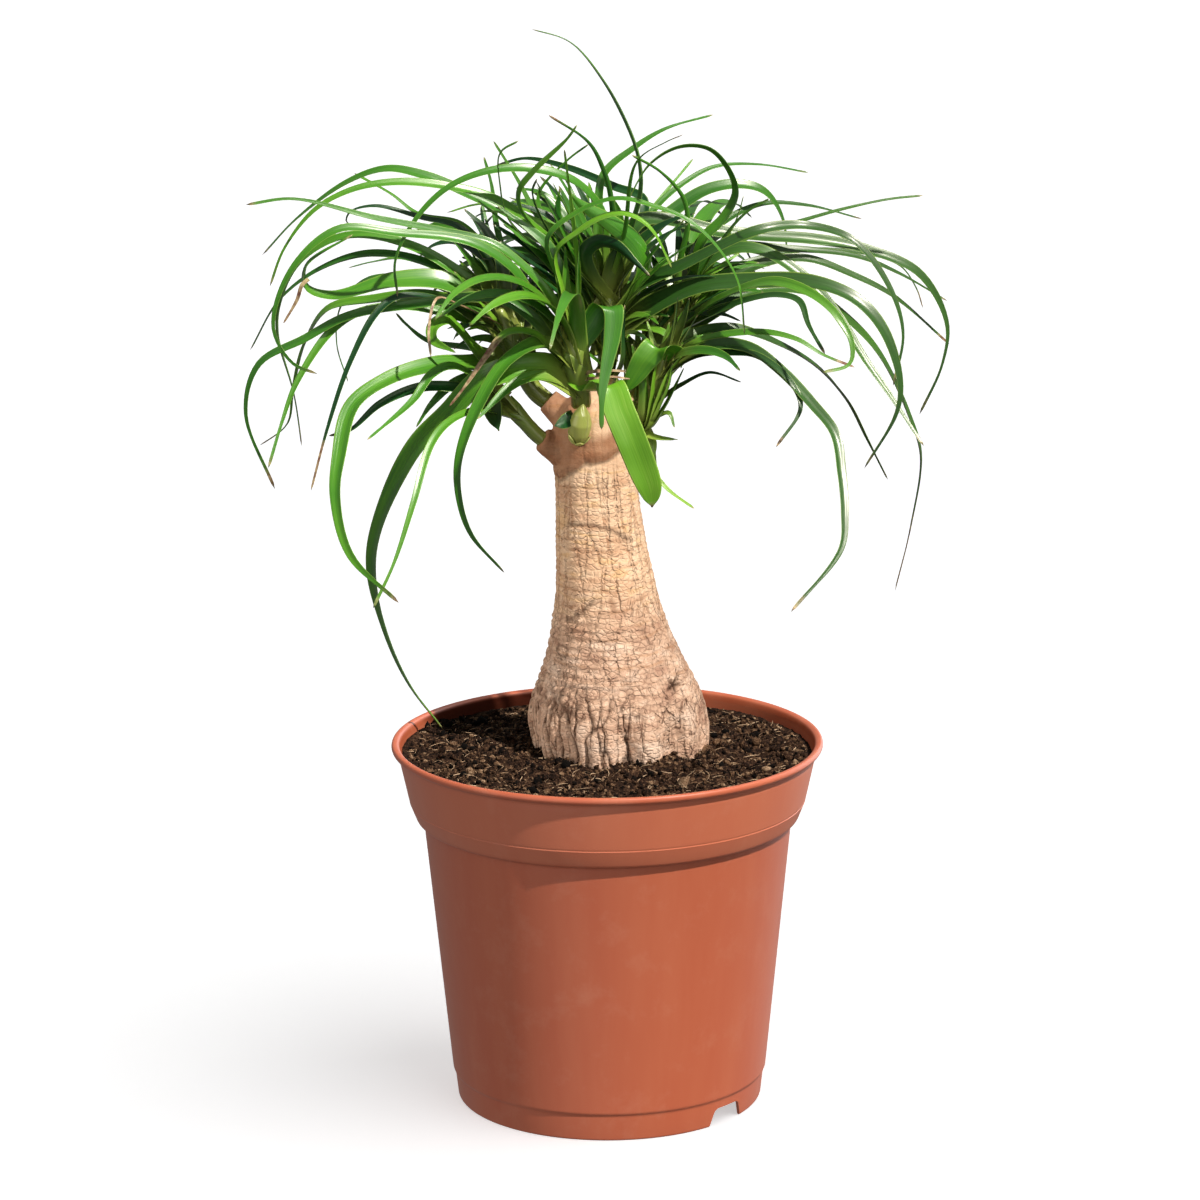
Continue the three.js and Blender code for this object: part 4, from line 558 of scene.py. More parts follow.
class Growth:
    """Settles where every leaf runs, so that leaves of different shoots stay clear of each other."""

    def __init__(self) -> None:
        """Starts with the stems and the bud in the way."""
        self.state = FILLER_SEED
        self.owner: list[str] = []
        self.starts: list[np.ndarray] = []
        self.ends: list[np.ndarray] = []
        self.radii: list[float] = []
        stems = {**{name: shoot.stem for name, shoot in SHOOTS.items()}, "bud": BUD_STEM}
        for name, stem in stems.items():
            for (low, low_radius), (high, high_radius) in zip(stem, stem[1:]):
                self._claim_segment(name, np.array(low, float), np.array(high, float),
                                    max(low_radius, high_radius))

    def _claim_segment(self, name: str, start: np.ndarray, end: np.ndarray, radius: float) -> None:
        """Marks one segment as taken."""
        self.owner.append(name)
        self.starts.append(start)
        self.ends.append(end)
        self.radii.append(radius)

    def _claim(self, name: str, stations: Stations) -> None:
        """Marks a blade's run as taken."""
        for i in range(len(stations.at) - 1):
            self._claim_segment(name, stations.at[i], stations.at[i + 1], stations.half[i])

    def _random(self, low: float, high: float) -> float:
        """The next number of the solids' own seeded row."""
        self.state = (self.state * 1664525 + 1013904223) % 4294967296
        return low + (high - low) * self.state / 4294967296

    def _is_clear(self, name: str, run: Stations) -> bool:
        """True if a blade clears the trunk and every leaf and stem of the other shoots."""
        here, half = run.at[:-1], run.half[:-1]
        beside = np.hypot(here[:, 0] - trunk_at(here[:, 2], 1), here[:, 1])
        least = trunk_at(here[:, 2], 2) + half + 2 * CLEARANCE
        if np.any(((here[:, 2] < TRUNK_TOP[2]) & (beside < least))[1:]):
            return False
        other = np.array([owner != name for owner in self.owner])
        starts, ends = np.array(self.starts)[other], np.array(self.ends)[other]
        radii = np.array(self.radii)[other]
        off = np.abs(here[:, None] - starts[None])
        near = (off[..., 0] <= NEIGHBOUR_RANGE) & (off[..., 2] <= NEIGHBOUR_RANGE)
        i, j = np.nonzero(near)
        gaps = segment_distances(here[i], run.at[i + 1], starts[j], ends[j])
        return not np.any(gaps < half[i] + radii[j] + CLEARANCE)

    @staticmethod
    def _bends() -> list[tuple[int, int]]:
        """Slides and bows in depth to try, the smallest first."""
        tries = [(slide * BEND_STEP, bow * BEND_STEP)
                 for slide in range(-BEND_SLIDES, BEND_SLIDES + 1)
                 for bow in range(-BEND_BOWS, BEND_BOWS + 1)]
        return sorted(tries, key=lambda t: abs(t[0]) + 1.01 * abs(t[1]) + .1 * (t[0] < 0) + .01 * (t[1] < 0))

    @staticmethod
    def _route(base: np.ndarray, leaf: Leaf, slide: float, bow: float) -> np.ndarray:
        """A traced leaf's points in space, with its tip slid and its middle bowed in depth."""
        flat = np.array([seen(base)] + [point[:2] for point in leaf.route])
        lengths = np.concatenate([[0], np.cumsum(np.linalg.norm(np.diff(flat, axis=0), axis=1))])
        points = [base]
        for point, spot, length in zip(leaf.route, flat[1:], lengths[1:]):
            share = length / lengths[-1]
            depth = point[2] if len(point) > 2 else base[1] + (leaf.tip_depth - base[1]) * share
            points.append(on_sight(spot, depth + slide * share + bow * math.sin(math.pi * share)))
        return np.array(points)

    def _draw_route(self, name: str, headings: tuple[float, float],
                    lengths: tuple[float, float] = FILLER_LENGTHS,
                    falls: tuple[float, float] = FILLER_FALLS,
                    shares: tuple[float, float] = WHOLE) -> np.ndarray:
        """Draws a leaf's points, rising from its stem and falling towards its tip.

        Args:
            name: The shoot that bears it.
            headings: The least and the most degrees that it points away from +X.
            lengths: Its least and greatest length in millimetres.
            falls: The least and the most degrees that its tip rises.
            shares: The part of the stem that it may start from.

        Returns:
            The points in space.
        """
        points = [on_stem(name, self._random(*shares))]
        heading = math.radians(self._random(*headings))
        sway = math.radians(self._random(*FILLER_SWAY))
        step = self._random(*lengths) / FILLER_STEPS
        rise = math.radians(self._random(*FILLER_RISE))
        fall = math.radians(self._random(*falls))
        for i in range(FILLER_STEPS):
            share = (i + .5) / FILLER_STEPS
            lift = rise + (fall - rise) * share
            turn = heading + sway * share
            way = (math.cos(lift) * math.cos(turn), math.cos(lift) * math.sin(turn), math.sin(lift))
            points.append(points[-1] + step * np.array(way))
        return np.array(points)

    @staticmethod
    def _is_hidden(point: np.ndarray) -> bool:
        """True if a drawn leaf's point is seen in the dense part of the head or behind the trunk."""
        x, z = seen(point)
        if abs(point[1]) > REACH:
            return False
        if is_within(x, z, HEAD):
            return True
        behind = trunk_at(z, 2) - 3 - abs(x - trunk_at(z, 1))
        return bool(point[1] > 0 and POT_OUTSIDE[-1][1] < z < TRUNK_TOP[2] and behind > 0)

    @staticmethod
    def _is_inside(point: np.ndarray) -> bool:
        """True if a point is seen within the plant's dense core."""
        x, z = seen(point)
        front = -16 if x > 12 else -9
        return front < point[1] < CORE_BACK and any(is_within(x, z, ellipse) for ellipse in CORE)

    def _draw_leaves(self, name: str, count: int, spans: list[tuple[float, float]], wanted: Callable,
                     widths: tuple[float, float], tints: list[Tint],
                     taper: float) -> list[tuple[str, Leaf, np.ndarray]]:
        """Draws leaves until enough of them lie where they are wanted, clear of the other shoots.

        Args:
            name: The shoot that bears them.
            count: How many are wanted.
            spans: What _draw_route takes after the name.
            wanted: Tells whether a point lies where a leaf is wanted.
            widths: Their least and greatest width.
            tints: The tints to draw from, or none for a leaf's own default.
            taper: How they taper.

        Returns:
            For each leaf its shoot, the leaf and its points in space.
        """
        drawn = []
        for _ in range(FILLER_TRIES):
            points = self._draw_route(name, *spans)
            tint = tints[int(self._random(0, len(tints)))] if tints else Tint.MID
            leaf = Leaf(0, self._random(*widths), 0, [], tint=tint, taper=taper)
            if not all(wanted(point) for point in points[1:]):
                continue
            run = lay_stations(points, leaf).coarse()
            if self._is_clear(name, run):
                self._claim(name, run)
                drawn.append((name, leaf, points))
            if len(drawn) == count:
                break
        return drawn

    def details(self) -> list[tuple[str, Leaf, np.ndarray]]:
        """Lays out the small things that only the finished plant has."""
        laid = []
        for name, leaves in DETAILS.items():
            for leaf in leaves:
                points = self._route(on_stem(name, leaf.share), leaf, 0, 0)
                laid.append((name, leaf, points if leaf.share else points[1:]))
        return laid

    def undergrowth(self) -> list[tuple[str, Leaf, np.ndarray]]:
        """Draws the small leaves of the dense core, clear of every leaf that is settled already."""
        drawn = []
        for name, count, *spans in UNDERGROWTH:
            made = self._draw_leaves(name, count, spans, self._is_inside, (2.6, 6.4), UNDERGROWTH_TINTS, 1.4)
            log.info("undergrowth of %s: %d of %d", name, len(made), count)
            drawn += made
        return drawn

    def leaves(self) -> list[tuple[str, Leaf, np.ndarray]]:
        """Settles every leaf.

        Returns:
            For each leaf its shoot, the leaf and its route's points in space.
        """
        settled = []
        for name, leaves in LEAVES.items():
            for leaf in leaves:
                base = on_stem(name, leaf.share)
                for slide, bow in self._bends():
                    points = self._route(base, leaf, slide, bow)
                    run = lay_stations(points, leaf).coarse()
                    if self._is_clear(name, run):
                        break
                else:
                    raise RuntimeError(f"a leaf of {name} finds no clear bend")
                self._claim(name, run)
                for i, spot in enumerate(leaf.finished, 1):
                    points[i] = on_sight(spot[:2], spot[2] if len(spot) > 2 else points[i][1])
                settled.append((name, leaf, points))
        for name, count, *spans in FILLERS:
            settled += self._draw_leaves(name, count, spans, self._is_hidden, (3.2, 7), [], Leaf.taper)
        return settled


# ---- Mesh and node helpers -------------------------------------------------------------------------

PLACE = "place"  # across the blade, millimetres along it, and which face
LOOK = "look"  # tint, dryness and how near the clasping base
SPAN = ("Value", "From Min", "From Max", "To Min", "To Max")


def linear(colour: str) -> tuple[float, float, float, float]:
    """An sRGB hex colour as linear red, green, blue and alpha."""
    parts = [int(colour[i:i + 2], 16) / 255 for i in (1, 3, 5)]
    return (*[c / 12.92 if c <= .04045 else ((c + .055) / 1.055) ** 2.4 for c in parts], 1.)


def add_node(tree: bpy.types.NodeTree, kind: str, inputs: dict | None = None,
             stops: tuple[tuple[float, str], ...] = (), feeds: bpy.types.Node | None = None,
             **settings: object) -> bpy.types.Node:
    """Adds a node with its settings, values and links.

    Args:
        tree: The node tree that takes the node.
        kind: The node's type, without its ShaderNode prefix.
        inputs: Each input's value, or the socket or the node that feeds it. A node feeds its first output.
        stops: A colour ramp's positions and hex colours, in rising order.
        feeds: The node whose first input it feeds.
        **settings: The node's own properties.

    Returns:
        The node.
    """
    made = tree.nodes.new("ShaderNode" + kind)
    for name, value in settings.items():
        setattr(made, name, value)
    for i, (position, colour) in enumerate(stops):
        elements = made.color_ramp.elements
        element = elements[i] if i < 2 else elements.new(position)
        element.position = position
        element.color = linear(colour)
    for key, value in (inputs or {}).items():
        if isinstance(value, bpy.types.Node):
            value = next(socket for socket in value.outputs if socket.enabled)
        if isinstance(value, bpy.types.NodeSocket):
            tree.links.new(value, made.inputs[key])
        else:
            made.inputs[key].default_value = value
    if feeds:
        tree.links.new(made.outputs[0], feeds.inputs[0])
    return made


def new_material(name: str) -> tuple[bpy.types.Material, bpy.types.NodeTree, bpy.types.Node]:
    """An empty node material, its tree and its output node."""
    made = bpy.data.materials.new(name)
    made.use_nodes = True
    made.node_tree.nodes.clear()
    return made, made.node_tree, add_node(made.node_tree, "OutputMaterial")


def new_mesh() -> bmesh.types.BMesh:
    """An empty mesh with the pieces' two vertex layers."""
    bm = bmesh.new()
    bm.verts.layers.float_vector.new(PLACE)
    bm.verts.layers.float_vector.new(LOOK)
    return bm


def take(bm: bmesh.types.BMesh, part: bmesh.types.BMesh) -> None:
    """Moves a small mesh, which is quick to work on, into a bigger one, and frees it."""
    scratch = bpy.data.meshes.new("scratch")
    part.to_mesh(scratch)
    part.free()
    bm.from_mesh(scratch)
    bpy.data.meshes.remove(scratch)


def skin(bm: bmesh.types.BMesh, rings: np.ndarray, layers: dict[str, np.ndarray] | None = None) -> None:
    """Lays a closed tube of faces over rings of points.

    Args:
        bm: The mesh that takes the faces.
        rings: Places in millimetres, as (along, around, 3).
        layers: Named vertex values, as (along, around, 3).
    """
    along, around = rings.shape[:2]
    tube = new_mesh()
    grid = bmesh.ops.create_grid(tube, x_segments=around, y_segments=along - 1, size=1)
    columns = np.arange(around + 1) % around
    for vert, place in zip(grid["verts"], (rings[:, columns] * MM).reshape(-1, 3)):
        vert.co = place
    for name, values in (layers or {}).items():
        layer = tube.verts.layers.float_vector[name]
        for vert, value in zip(grid["verts"], values[:, columns].reshape(-1, 3)):
            vert[layer] = value
    bmesh.ops.remove_doubles(tube, verts=tube.verts, dist=1e-6)
    take(bm, tube)


def to_object(bm: bmesh.types.BMesh, name: str) -> bpy.types.Object:
    """Puts a mesh, which is freed, into the scene as an object."""
    mesh = bpy.data.meshes.new(name)
    bm.to_mesh(mesh)
    bm.free()
    made = bpy.data.objects.new(name, mesh)
    bpy.context.scene.collection.objects.link(made)
    return made


def worked(blank: bpy.types.Object, *tools: bpy.types.Object) -> bmesh.types.BMesh:
    """The mesh that a blank's modifiers make of it. The blank and its tools are then removed."""
    made = bmesh.new()
    made.from_object(blank, bpy.context.evaluated_depsgraph_get())
    for used in (blank, *tools):
        mesh = used.data
        bpy.data.objects.remove(used)
        bpy.data.meshes.remove(mesh)
    return made


def finish_piece(bm: bmesh.types.BMesh, name: str, material: bpy.types.Material,
                 replaced: str) -> bpy.types.Object:
    """Welds a mesh, turns its faces outwards and puts it on the part's body.

    Args:
        bm: The finished mesh, which is freed.
        name: The piece's name.
        material: Its finish.
        replaced: The node that it stands for.

    Returns:
        The piece's object.
    """
    bmesh.ops.dissolve_degenerate(bm, edges=bm.edges, dist=1e-7)
    bmesh.ops.recalc_face_normals(bm, faces=bm.faces)
    for face in bm.faces:
        face.smooth = True
    piece = to_object(bm, name)
    piece.data.materials.append(material)
    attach(piece, "root")
    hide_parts(replaced)
    log.info("%s: %d faces", name, len(piece.data.polygons))
    return piece


def spin_profile(bm: bmesh.types.BMesh, profile: list[tuple[float, float]], steps: int) -> None:
    """Turns an outline of (radius, height) points about the pot's axis into a closed shell."""
    verts = [bm.verts.new((radius * MM, 0, height * MM)) for radius, height in profile]
    edges = [bm.edges.new(pair) for pair in zip(verts, verts[1:])]
    bmesh.ops.spin(bm, geom=verts + edges, cent=(0, 0, 0), axis=(0, 0, 1), angle=math.tau, steps=steps,
                   use_merge=True)
    bmesh.ops.remove_doubles(bm, verts=bm.verts, dist=1e-6)


def rounded(profile: list[tuple[float, float]], reach: float, segments: int = 3) -> list[tuple[float, float]]:
    """An outline with its inner corners rounded off, starting at most reach millimetres from each."""
    made = [profile[0]]
    for before, corner, after in zip(profile, profile[1:], profile[2:]):
        a, b, c = (Vector(p) for p in (before, corner, after))
        start = b + (a - b).normalized() * min(reach, (a - b).length * .45)
        end = b + (c - b).normalized() * min(reach, (c - b).length * .45)
        for i in range(segments + 1):
            t = i / segments
            made.append(tuple(start * (1 - t) ** 2 + b * 2 * t * (1 - t) + end * t * t))
    return made + [profile[-1]]


def cut(body: bmesh.types.BMesh, cutters: bmesh.types.BMesh) -> bmesh.types.BMesh:
    """Takes a set of closed shapes out of a closed mesh, and frees both."""
    blank, tool = to_object(body, "blank"), to_object(cutters, "tool")
    boolean = blank.modifiers.new("cut", "BOOLEAN")
    boolean.object = tool
    boolean.operation = "DIFFERENCE"
    boolean.solver = "EXACT"
    return worked(blank, tool)


def capped(rings: np.ndarray, first: np.ndarray | tuple, last: np.ndarray | tuple) -> np.ndarray:
    """Rings that close to a point before the first of them and after the last."""
    return np.concatenate([rings[:1] * 0 + first, rings, rings[:1] * 0 + last])


def channels(shape: tuple[int, ...], *values: np.ndarray | float) -> np.ndarray:
    """Three vertex values for each place of a shape."""
    return np.stack([np.broadcast_to(value, shape) for value in values], -1)


def noises(places: np.ndarray, size: float, seed: float = 0, stretch: float = 1) -> np.ndarray:
    """Smooth noise, -1 to 1, at each place, with lumps of about size millimetres, stretched upwards."""
    scaled = places / (size, size, size * stretch) + seed
    return np.array([noise.noise(p) for p in scaled.tolist()])


def cells(places: np.ndarray, size: float, stretch: float = 1) -> np.ndarray:
    """How far each place is from the edge of its cell, in cells of about size millimetres."""
    made = []
    for place in (places / (size, size, size * stretch)).tolist():
        (first, second, *_), _ = noise.voronoi(place)
        made.append(second - first)
    return np.array(made)


# ---- Finishes --------------------------------------------------------------------------------------


@dataclass(frozen=True)
class MouldedPolypropylene:
    """Injection-moulded polypropylene, terracotta: satin, faintly grained and dusty, with a band painted
    paler as painted light and an inside darkened by peat stain and painted shade.
    """

    body: str = "#B45C3F"
    worn: str = "#B96446"
    dust: str = "#D9A98F"
    band_painted_light: str = "#E08E6C"
    peat_and_painted_shade: str = "#2A0F0A"

    def build(self) -> bpy.types.Material:
        """Builds the finish.

        Returns:
            The material.
        """
        made, tree, output = new_material("moulded_terracotta_polypropylene")
        coord = add_node(tree, "TexCoord").outputs["Object"]
        height = add_node(tree, "SeparateXYZ", {0: coord}).outputs[2]
        # Flow marks run up the wall, some 12 mm wide; dust lies in patches of 2 to 30 mm.
        flow = add_node(tree, "Mapping", {"Vector": coord, "Scale": (1, 1, .12)})
        marks = add_node(tree, "TexNoise", {"Vector": flow, "Scale": 80, "Detail": 3, "Roughness": .6})
        patches = add_node(tree, "TexNoise", {"Vector": coord, "Scale": 60, "Detail": 8, "Roughness": .7})
        outward = add_node(tree, "VectorMath", {0: coord, 1: (1, 1, 0)}, operation="MULTIPLY")
        normal = add_node(tree, "NewGeometry").outputs["Normal"]
        facing = add_node(tree, "VectorMath", {0: normal, 1: outward}, operation="DOT_PRODUCT")
        back_left = add_node(tree, "VectorMath", {0: coord, 1: (-.62, .78, 0)}, operation="DOT_PRODUCT")
        # The band under the lip is painted paler, as painted light. The inside above the soil is darkened by
        # peat stain and painted shade, and darkest at the back left, where the darkening is a painted shadow
        # of the trunk.
        dusty, over_step, under_lip, inside, stain_and_shadow_share, rough = (
            add_node(tree, "MapRange", dict(zip(SPAN, span))) for span in (
                (patches, .52, .8, 0, .14), (height, .1165, .1185, 0, .2), (height, .1436, .1444, 1, 0),
                (facing, -.055, -.075, 0, 1), (back_left, .0725, .077, .4, .94), (patches, 0, 1, .36, .56)))
        band, stain_and_shadow = (add_node(tree, "Math", {0: first, 1: second}, operation="MULTIPLY")
                       for first, second in ((over_step, under_lip), (inside, stain_and_shadow_share)))
        colour = add_node(tree, "ValToRGB", {"Fac": marks}, ((.3, self.body), (.75, self.worn)))
        for share, over in ((dusty, self.dust), (band, self.band_painted_light), (stain_and_shadow, self.peat_and_painted_shade)):
            colour = add_node(tree, "Mix", {0: share, 6: colour, 7: linear(over)}, data_type="RGBA")
        # Spark-eroded mould grain, 0.5 mm.
        grain = add_node(tree, "TexNoise", {"Vector": coord, "Scale": 2000, "Detail": 1})
        bump = add_node(tree, "Bump", {"Height": grain, "Strength": .12, "Distance": .0001})
        wave = add_node(tree, "Bump", {"Height": marks, "Strength": .1, "Distance": .0004, "Normal": bump})
        satin = add_node(tree, "BsdfPrincipled", {"Base Color": colour, "Roughness": rough, "Normal": wave,
                                                  "IOR": 1.49})
        dull = add_node(tree, "BsdfDiffuse", {"Color": colour})
        add_node(tree, "MixShader", {0: inside, 1: satin, 2: dull}, feeds=output)
        return made


@dataclass(frozen=True)
class MoistSoil:
    """Peat, fine bark and coir: nearly black when moist, dull, with lighter dry crumbs."""

    deep: str = "#050302"
    body: str = "#291A12"
    dry: str = "#604936"
    coir: str = "#C4A98C"

    def build(self) -> bpy.types.Material:
        """Builds the finish.

        Returns:
            The material.
        """
        made, tree, output = new_material("moist_peat_and_bark_soil")
        coord = add_node(tree, "TexCoord").outputs["Object"]
        # Crumbs of 3 mm and specks of 0.6 mm.
        crumbs = add_node(tree, "TexNoise", {"Vector": coord, "Scale": 330, "Detail": 5, "Roughness": .65})
        specks = add_node(tree, "TexNoise", {"Vector": coord, "Scale": 1600, "Detail": 2})
        both = add_node(tree, "Mix", {0: .45, 2: crumbs, 3: specks})
        look = add_node(tree, "Attribute", attribute_name=LOOK).outputs["Vector"]
        lighter = add_node(tree, "SeparateXYZ", {0: look}).outputs[0]
        tone = add_node(tree, "Math", {0: both, 1: lighter}, operation="ADD")
        colour = add_node(tree, "ValToRGB", {"Fac": tone},
                          ((.4, self.deep), (.52, self.body), (.66, self.dry), (1, self.coir)))
        bump = add_node(tree, "Bump", {"Height": both, "Strength": .8, "Distance": .0012})
        add_node(tree, "BsdfPrincipled", {"Base Color": colour, "Roughness": .92, "Normal": bump,
                                          "IOR": 1.4, "Specular IOR Level": .15}, feeds=output)
        return made


@dataclass(frozen=True)
class CorkyBark:
    """Corky caudex bark: smooth and peach above, browner and fissured below, with thin wavy cracks; painted
    shade darkens its fissures, grooves and pits, thin painted leaf shadows cross it, and its brown collar is
    partly painted shadow.
    """

    shade: str = "#CB9F7F"
    body: str = "#E7C2A1"
    light: str = "#F4D5B6"
    low_shade: str = "#B08B76"
    low_body: str = "#D6B39A"
    low_light: str = "#E9CDB8"
    honey: str = "#DFAF74"
    line: str = "#B08262"
    low_line: str = "#5E3B29"
    painted_shade: str = "#38200F"
    scar: str = "#B88B69"
    dirt: str = "#7C5A47"
    collar_and_shadow: str = "#936243"

    @staticmethod
    def _cracks(tree: bpy.types.NodeTree, coord: bpy.types.NodeSocket | bpy.types.Node, across: float,
                stretch: float, wander: float, lean: float = 0) -> bpy.types.Node:
        """Distance from the nearest crack, where cracks part cells that are across millimetres wide.

        Args:
            tree: The material's tree.
            coord: The coordinates.
            across: The cells' width in millimetres.
            stretch: How many times taller than wide the cells are.
            wander: How far the cracks wander, in millimetres.
            lean: How far the cells lean to the left, in degrees.

        Returns:
            The node that gives the distance, in cell widths.
        """
        sway = add_node(tree, "TexNoise", {"Vector": coord, "Scale": 1000 / (across * 1.1), "Detail": 2})
        moved = add_node(tree, "VectorMath", {0: sway.outputs["Color"], 1: (wander * MM,) * 3, 2: coord},
                         operation="MULTIPLY_ADD")
        leant = add_node(tree, "Mapping", {"Vector": moved, "Rotation": (0, math.radians(lean), 0)})
        tall = add_node(tree, "Mapping", {"Vector": leant, "Scale": (1, 1, 1 / stretch)})
        return add_node(tree, "TexVoronoi", {"Vector": tall, "Scale": 1000 / across},
                        feature="DISTANCE_TO_EDGE")

    def build(self) -> bpy.types.Material:
        """Builds the finish.

        Returns:
            The material.
        """
        made, tree, output = new_material("corky_caudex_bark")
        coord = add_node(tree, "TexCoord").outputs["Object"]
        height = add_node(tree, "SeparateXYZ", {0: coord}).outputs[2]
        told = [add_node(tree, "Attribute", attribute_name=name).outputs["Vector"] for name in (LOOK, PLACE)]
        (painted_shade, scar, collar_and_shadow), (jog, roped, high) = (add_node(tree, "SeparateXYZ", {0: vector}).outputs
                                                     for vector in told)
        # Broad patches of 15 mm, streaks of 12 by 3 mm along the rings, two fades of 8 and 6 mm that break
        # the lines up, and 0.8 mm flecks of lichen and dirt.
        flat = add_node(tree, "Mapping", {"Vector": coord, "Scale": (1, 1, 4)})
        patches, streaks, fade, sparse, dirt = (
            add_node(tree, "TexNoise", dict(zip(("Vector", "Scale", "Detail", "Roughness"), values)))
            for values in ((coord, 75, 7, .65), (flat, 75, 4), (coord, 120, 2), (coord, 160, 1),
                           (coord, 1250, 3, .7)))
        # Long upright cracks 5 mm apart step aside at each ring. A finer, flatter net lies between, 3 mm
        # wide, and slanting cracks cross the foot.
        stepped = add_node(tree, "VectorMath", {0: jog, 1: (MM, .6 * MM, 0), 2: coord},
                           operation="MULTIPLY_ADD")
        wide = self._cracks(tree, stepped, 5, 13, 1.9)
        fine = self._cracks(tree, stepped, 3, .62, 1.1)
        slanted = self._cracks(tree, coord, 4.6, 3.4, 1.6, 38)
        at = {"high": high, "painted_shade": painted_shade, "scar": scar, "collar_and_shadow": collar_and_shadow}
        # Each share's name, and its span as the node's inputs.
        for name, *span in (
                ("honeyed", streaks, .54, .66, 0, .6), ("worn", patches, .36, .6, 1, .85),
                ("below_neck", height, .255, .262, .9, .2),
                ("wide_core", wide, .012, .045, 1, 0), ("wide_fade", fade, .42, .54, 0, 1),
                ("wide_ropes", roped, .25, .6, .04, .8), ("wide_high", high, 0, .6, 0, .8),
                ("fine_core", fine, .02, .07, .6, 0), ("fine_fade", fade, .4, .54, 0, 1),
                ("fine_low", height, .158, .17, .15, 1), ("fine_high", height, .205, .222, 1, .35),
                ("slant_core", slanted, .012, .065, .8, 0), ("slant_fade", sparse, .49, .55, 0, 1),
                ("slant_foot", height, .168, .176, 1, 0), ("slant_smooth", roped, .2, .6, 1, 0),
                ("dirt_spots", dirt, .52, .72, 0, .8), ("dirt_low", high, 0, 1, .6, .3)):
            at[name] = add_node(tree, "MapRange", dict(zip(SPAN, span)))
        for name, operation, first, *others in (
                ("honey", "MULTIPLY", "honeyed", "high"), ("band", "MULTIPLY", "collar_and_shadow", "worn"),
                ("dirt", "MULTIPLY", "dirt_spots", "dirt_low"),
                ("wide_above", "MULTIPLY", "wide_high", "below_neck"),
                ("wide_share", "MAXIMUM", "wide_ropes", "wide_above"),
                ("wide", "MULTIPLY", "wide_core", "wide_fade", "wide_share"),
                ("fine", "MULTIPLY", "fine_core", "fine_fade", "fine_low", "fine_high", "below_neck"),
                ("slant", "MULTIPLY", "slant_core", "slant_fade", "slant_foot", "slant_smooth"),
                ("lines", "MAXIMUM", "wide", "fine", "slant")):
            at[name] = at[first]
            for other in others:
                at[name] = add_node(tree, "Math", {0: at[name], 1: at[other]}, operation=operation)
        tone = add_node(tree, "Mix", {0: .5, 2: patches, 3: streaks})
        below, above = (add_node(tree, "ValToRGB", {"Fac": tone}, stops) for stops in (
            ((.38, self.low_shade), (.5, self.low_body), (.62, self.low_light)),
            ((.36, self.shade), (.48, self.body), (.6, self.light))))
        line = add_node(tree, "Mix", {0: high, 6: linear(self.low_line), 7: linear(self.line)},
                        data_type="RGBA")
        colour = below
        # Painted shade darkens fissures, grooves and pits and draws thin leaf shadows; the collar's brown is
        # partly the bark's own and partly painted shadow.
        for share, over in (("high", above), ("honey", linear(self.honey)), ("lines", line),
                            ("scar", linear(self.scar)), ("dirt", linear(self.dirt)),
                            ("band", linear(self.collar_and_shadow)), ("painted_shade", linear(self.painted_shade))):
            colour = add_node(tree, "Mix", {0: at[share], 6: colour, 7: over}, data_type="RGBA")
        rise, swell = (add_node(tree, "MapRange", {"Value": near, "From Max": far},
                                interpolation_type="SMOOTHSTEP") for near, far in ((wide, .15), (fine, .2)))
        slope = add_node(tree, "Math", {0: at["slant"], 1: -1.}, operation="MULTIPLY")
        relief = {}
        for level, strength, depth in ((rise, at["below_neck"], .0008), (swell, at["below_neck"], .0003),
                                       (slope, .8, .0007), (dirt, .5, .0004)):
            relief["Normal"] = add_node(tree, "Bump", {"Height": level, "Strength": strength,
                                                       "Distance": depth, **relief})
        add_node(tree, "BsdfPrincipled", {"Base Color": colour, "Roughness": .78, "IOR": 1.45,
                                          "Specular IOR Level": .3, **relief}, feeds=output)
        return made


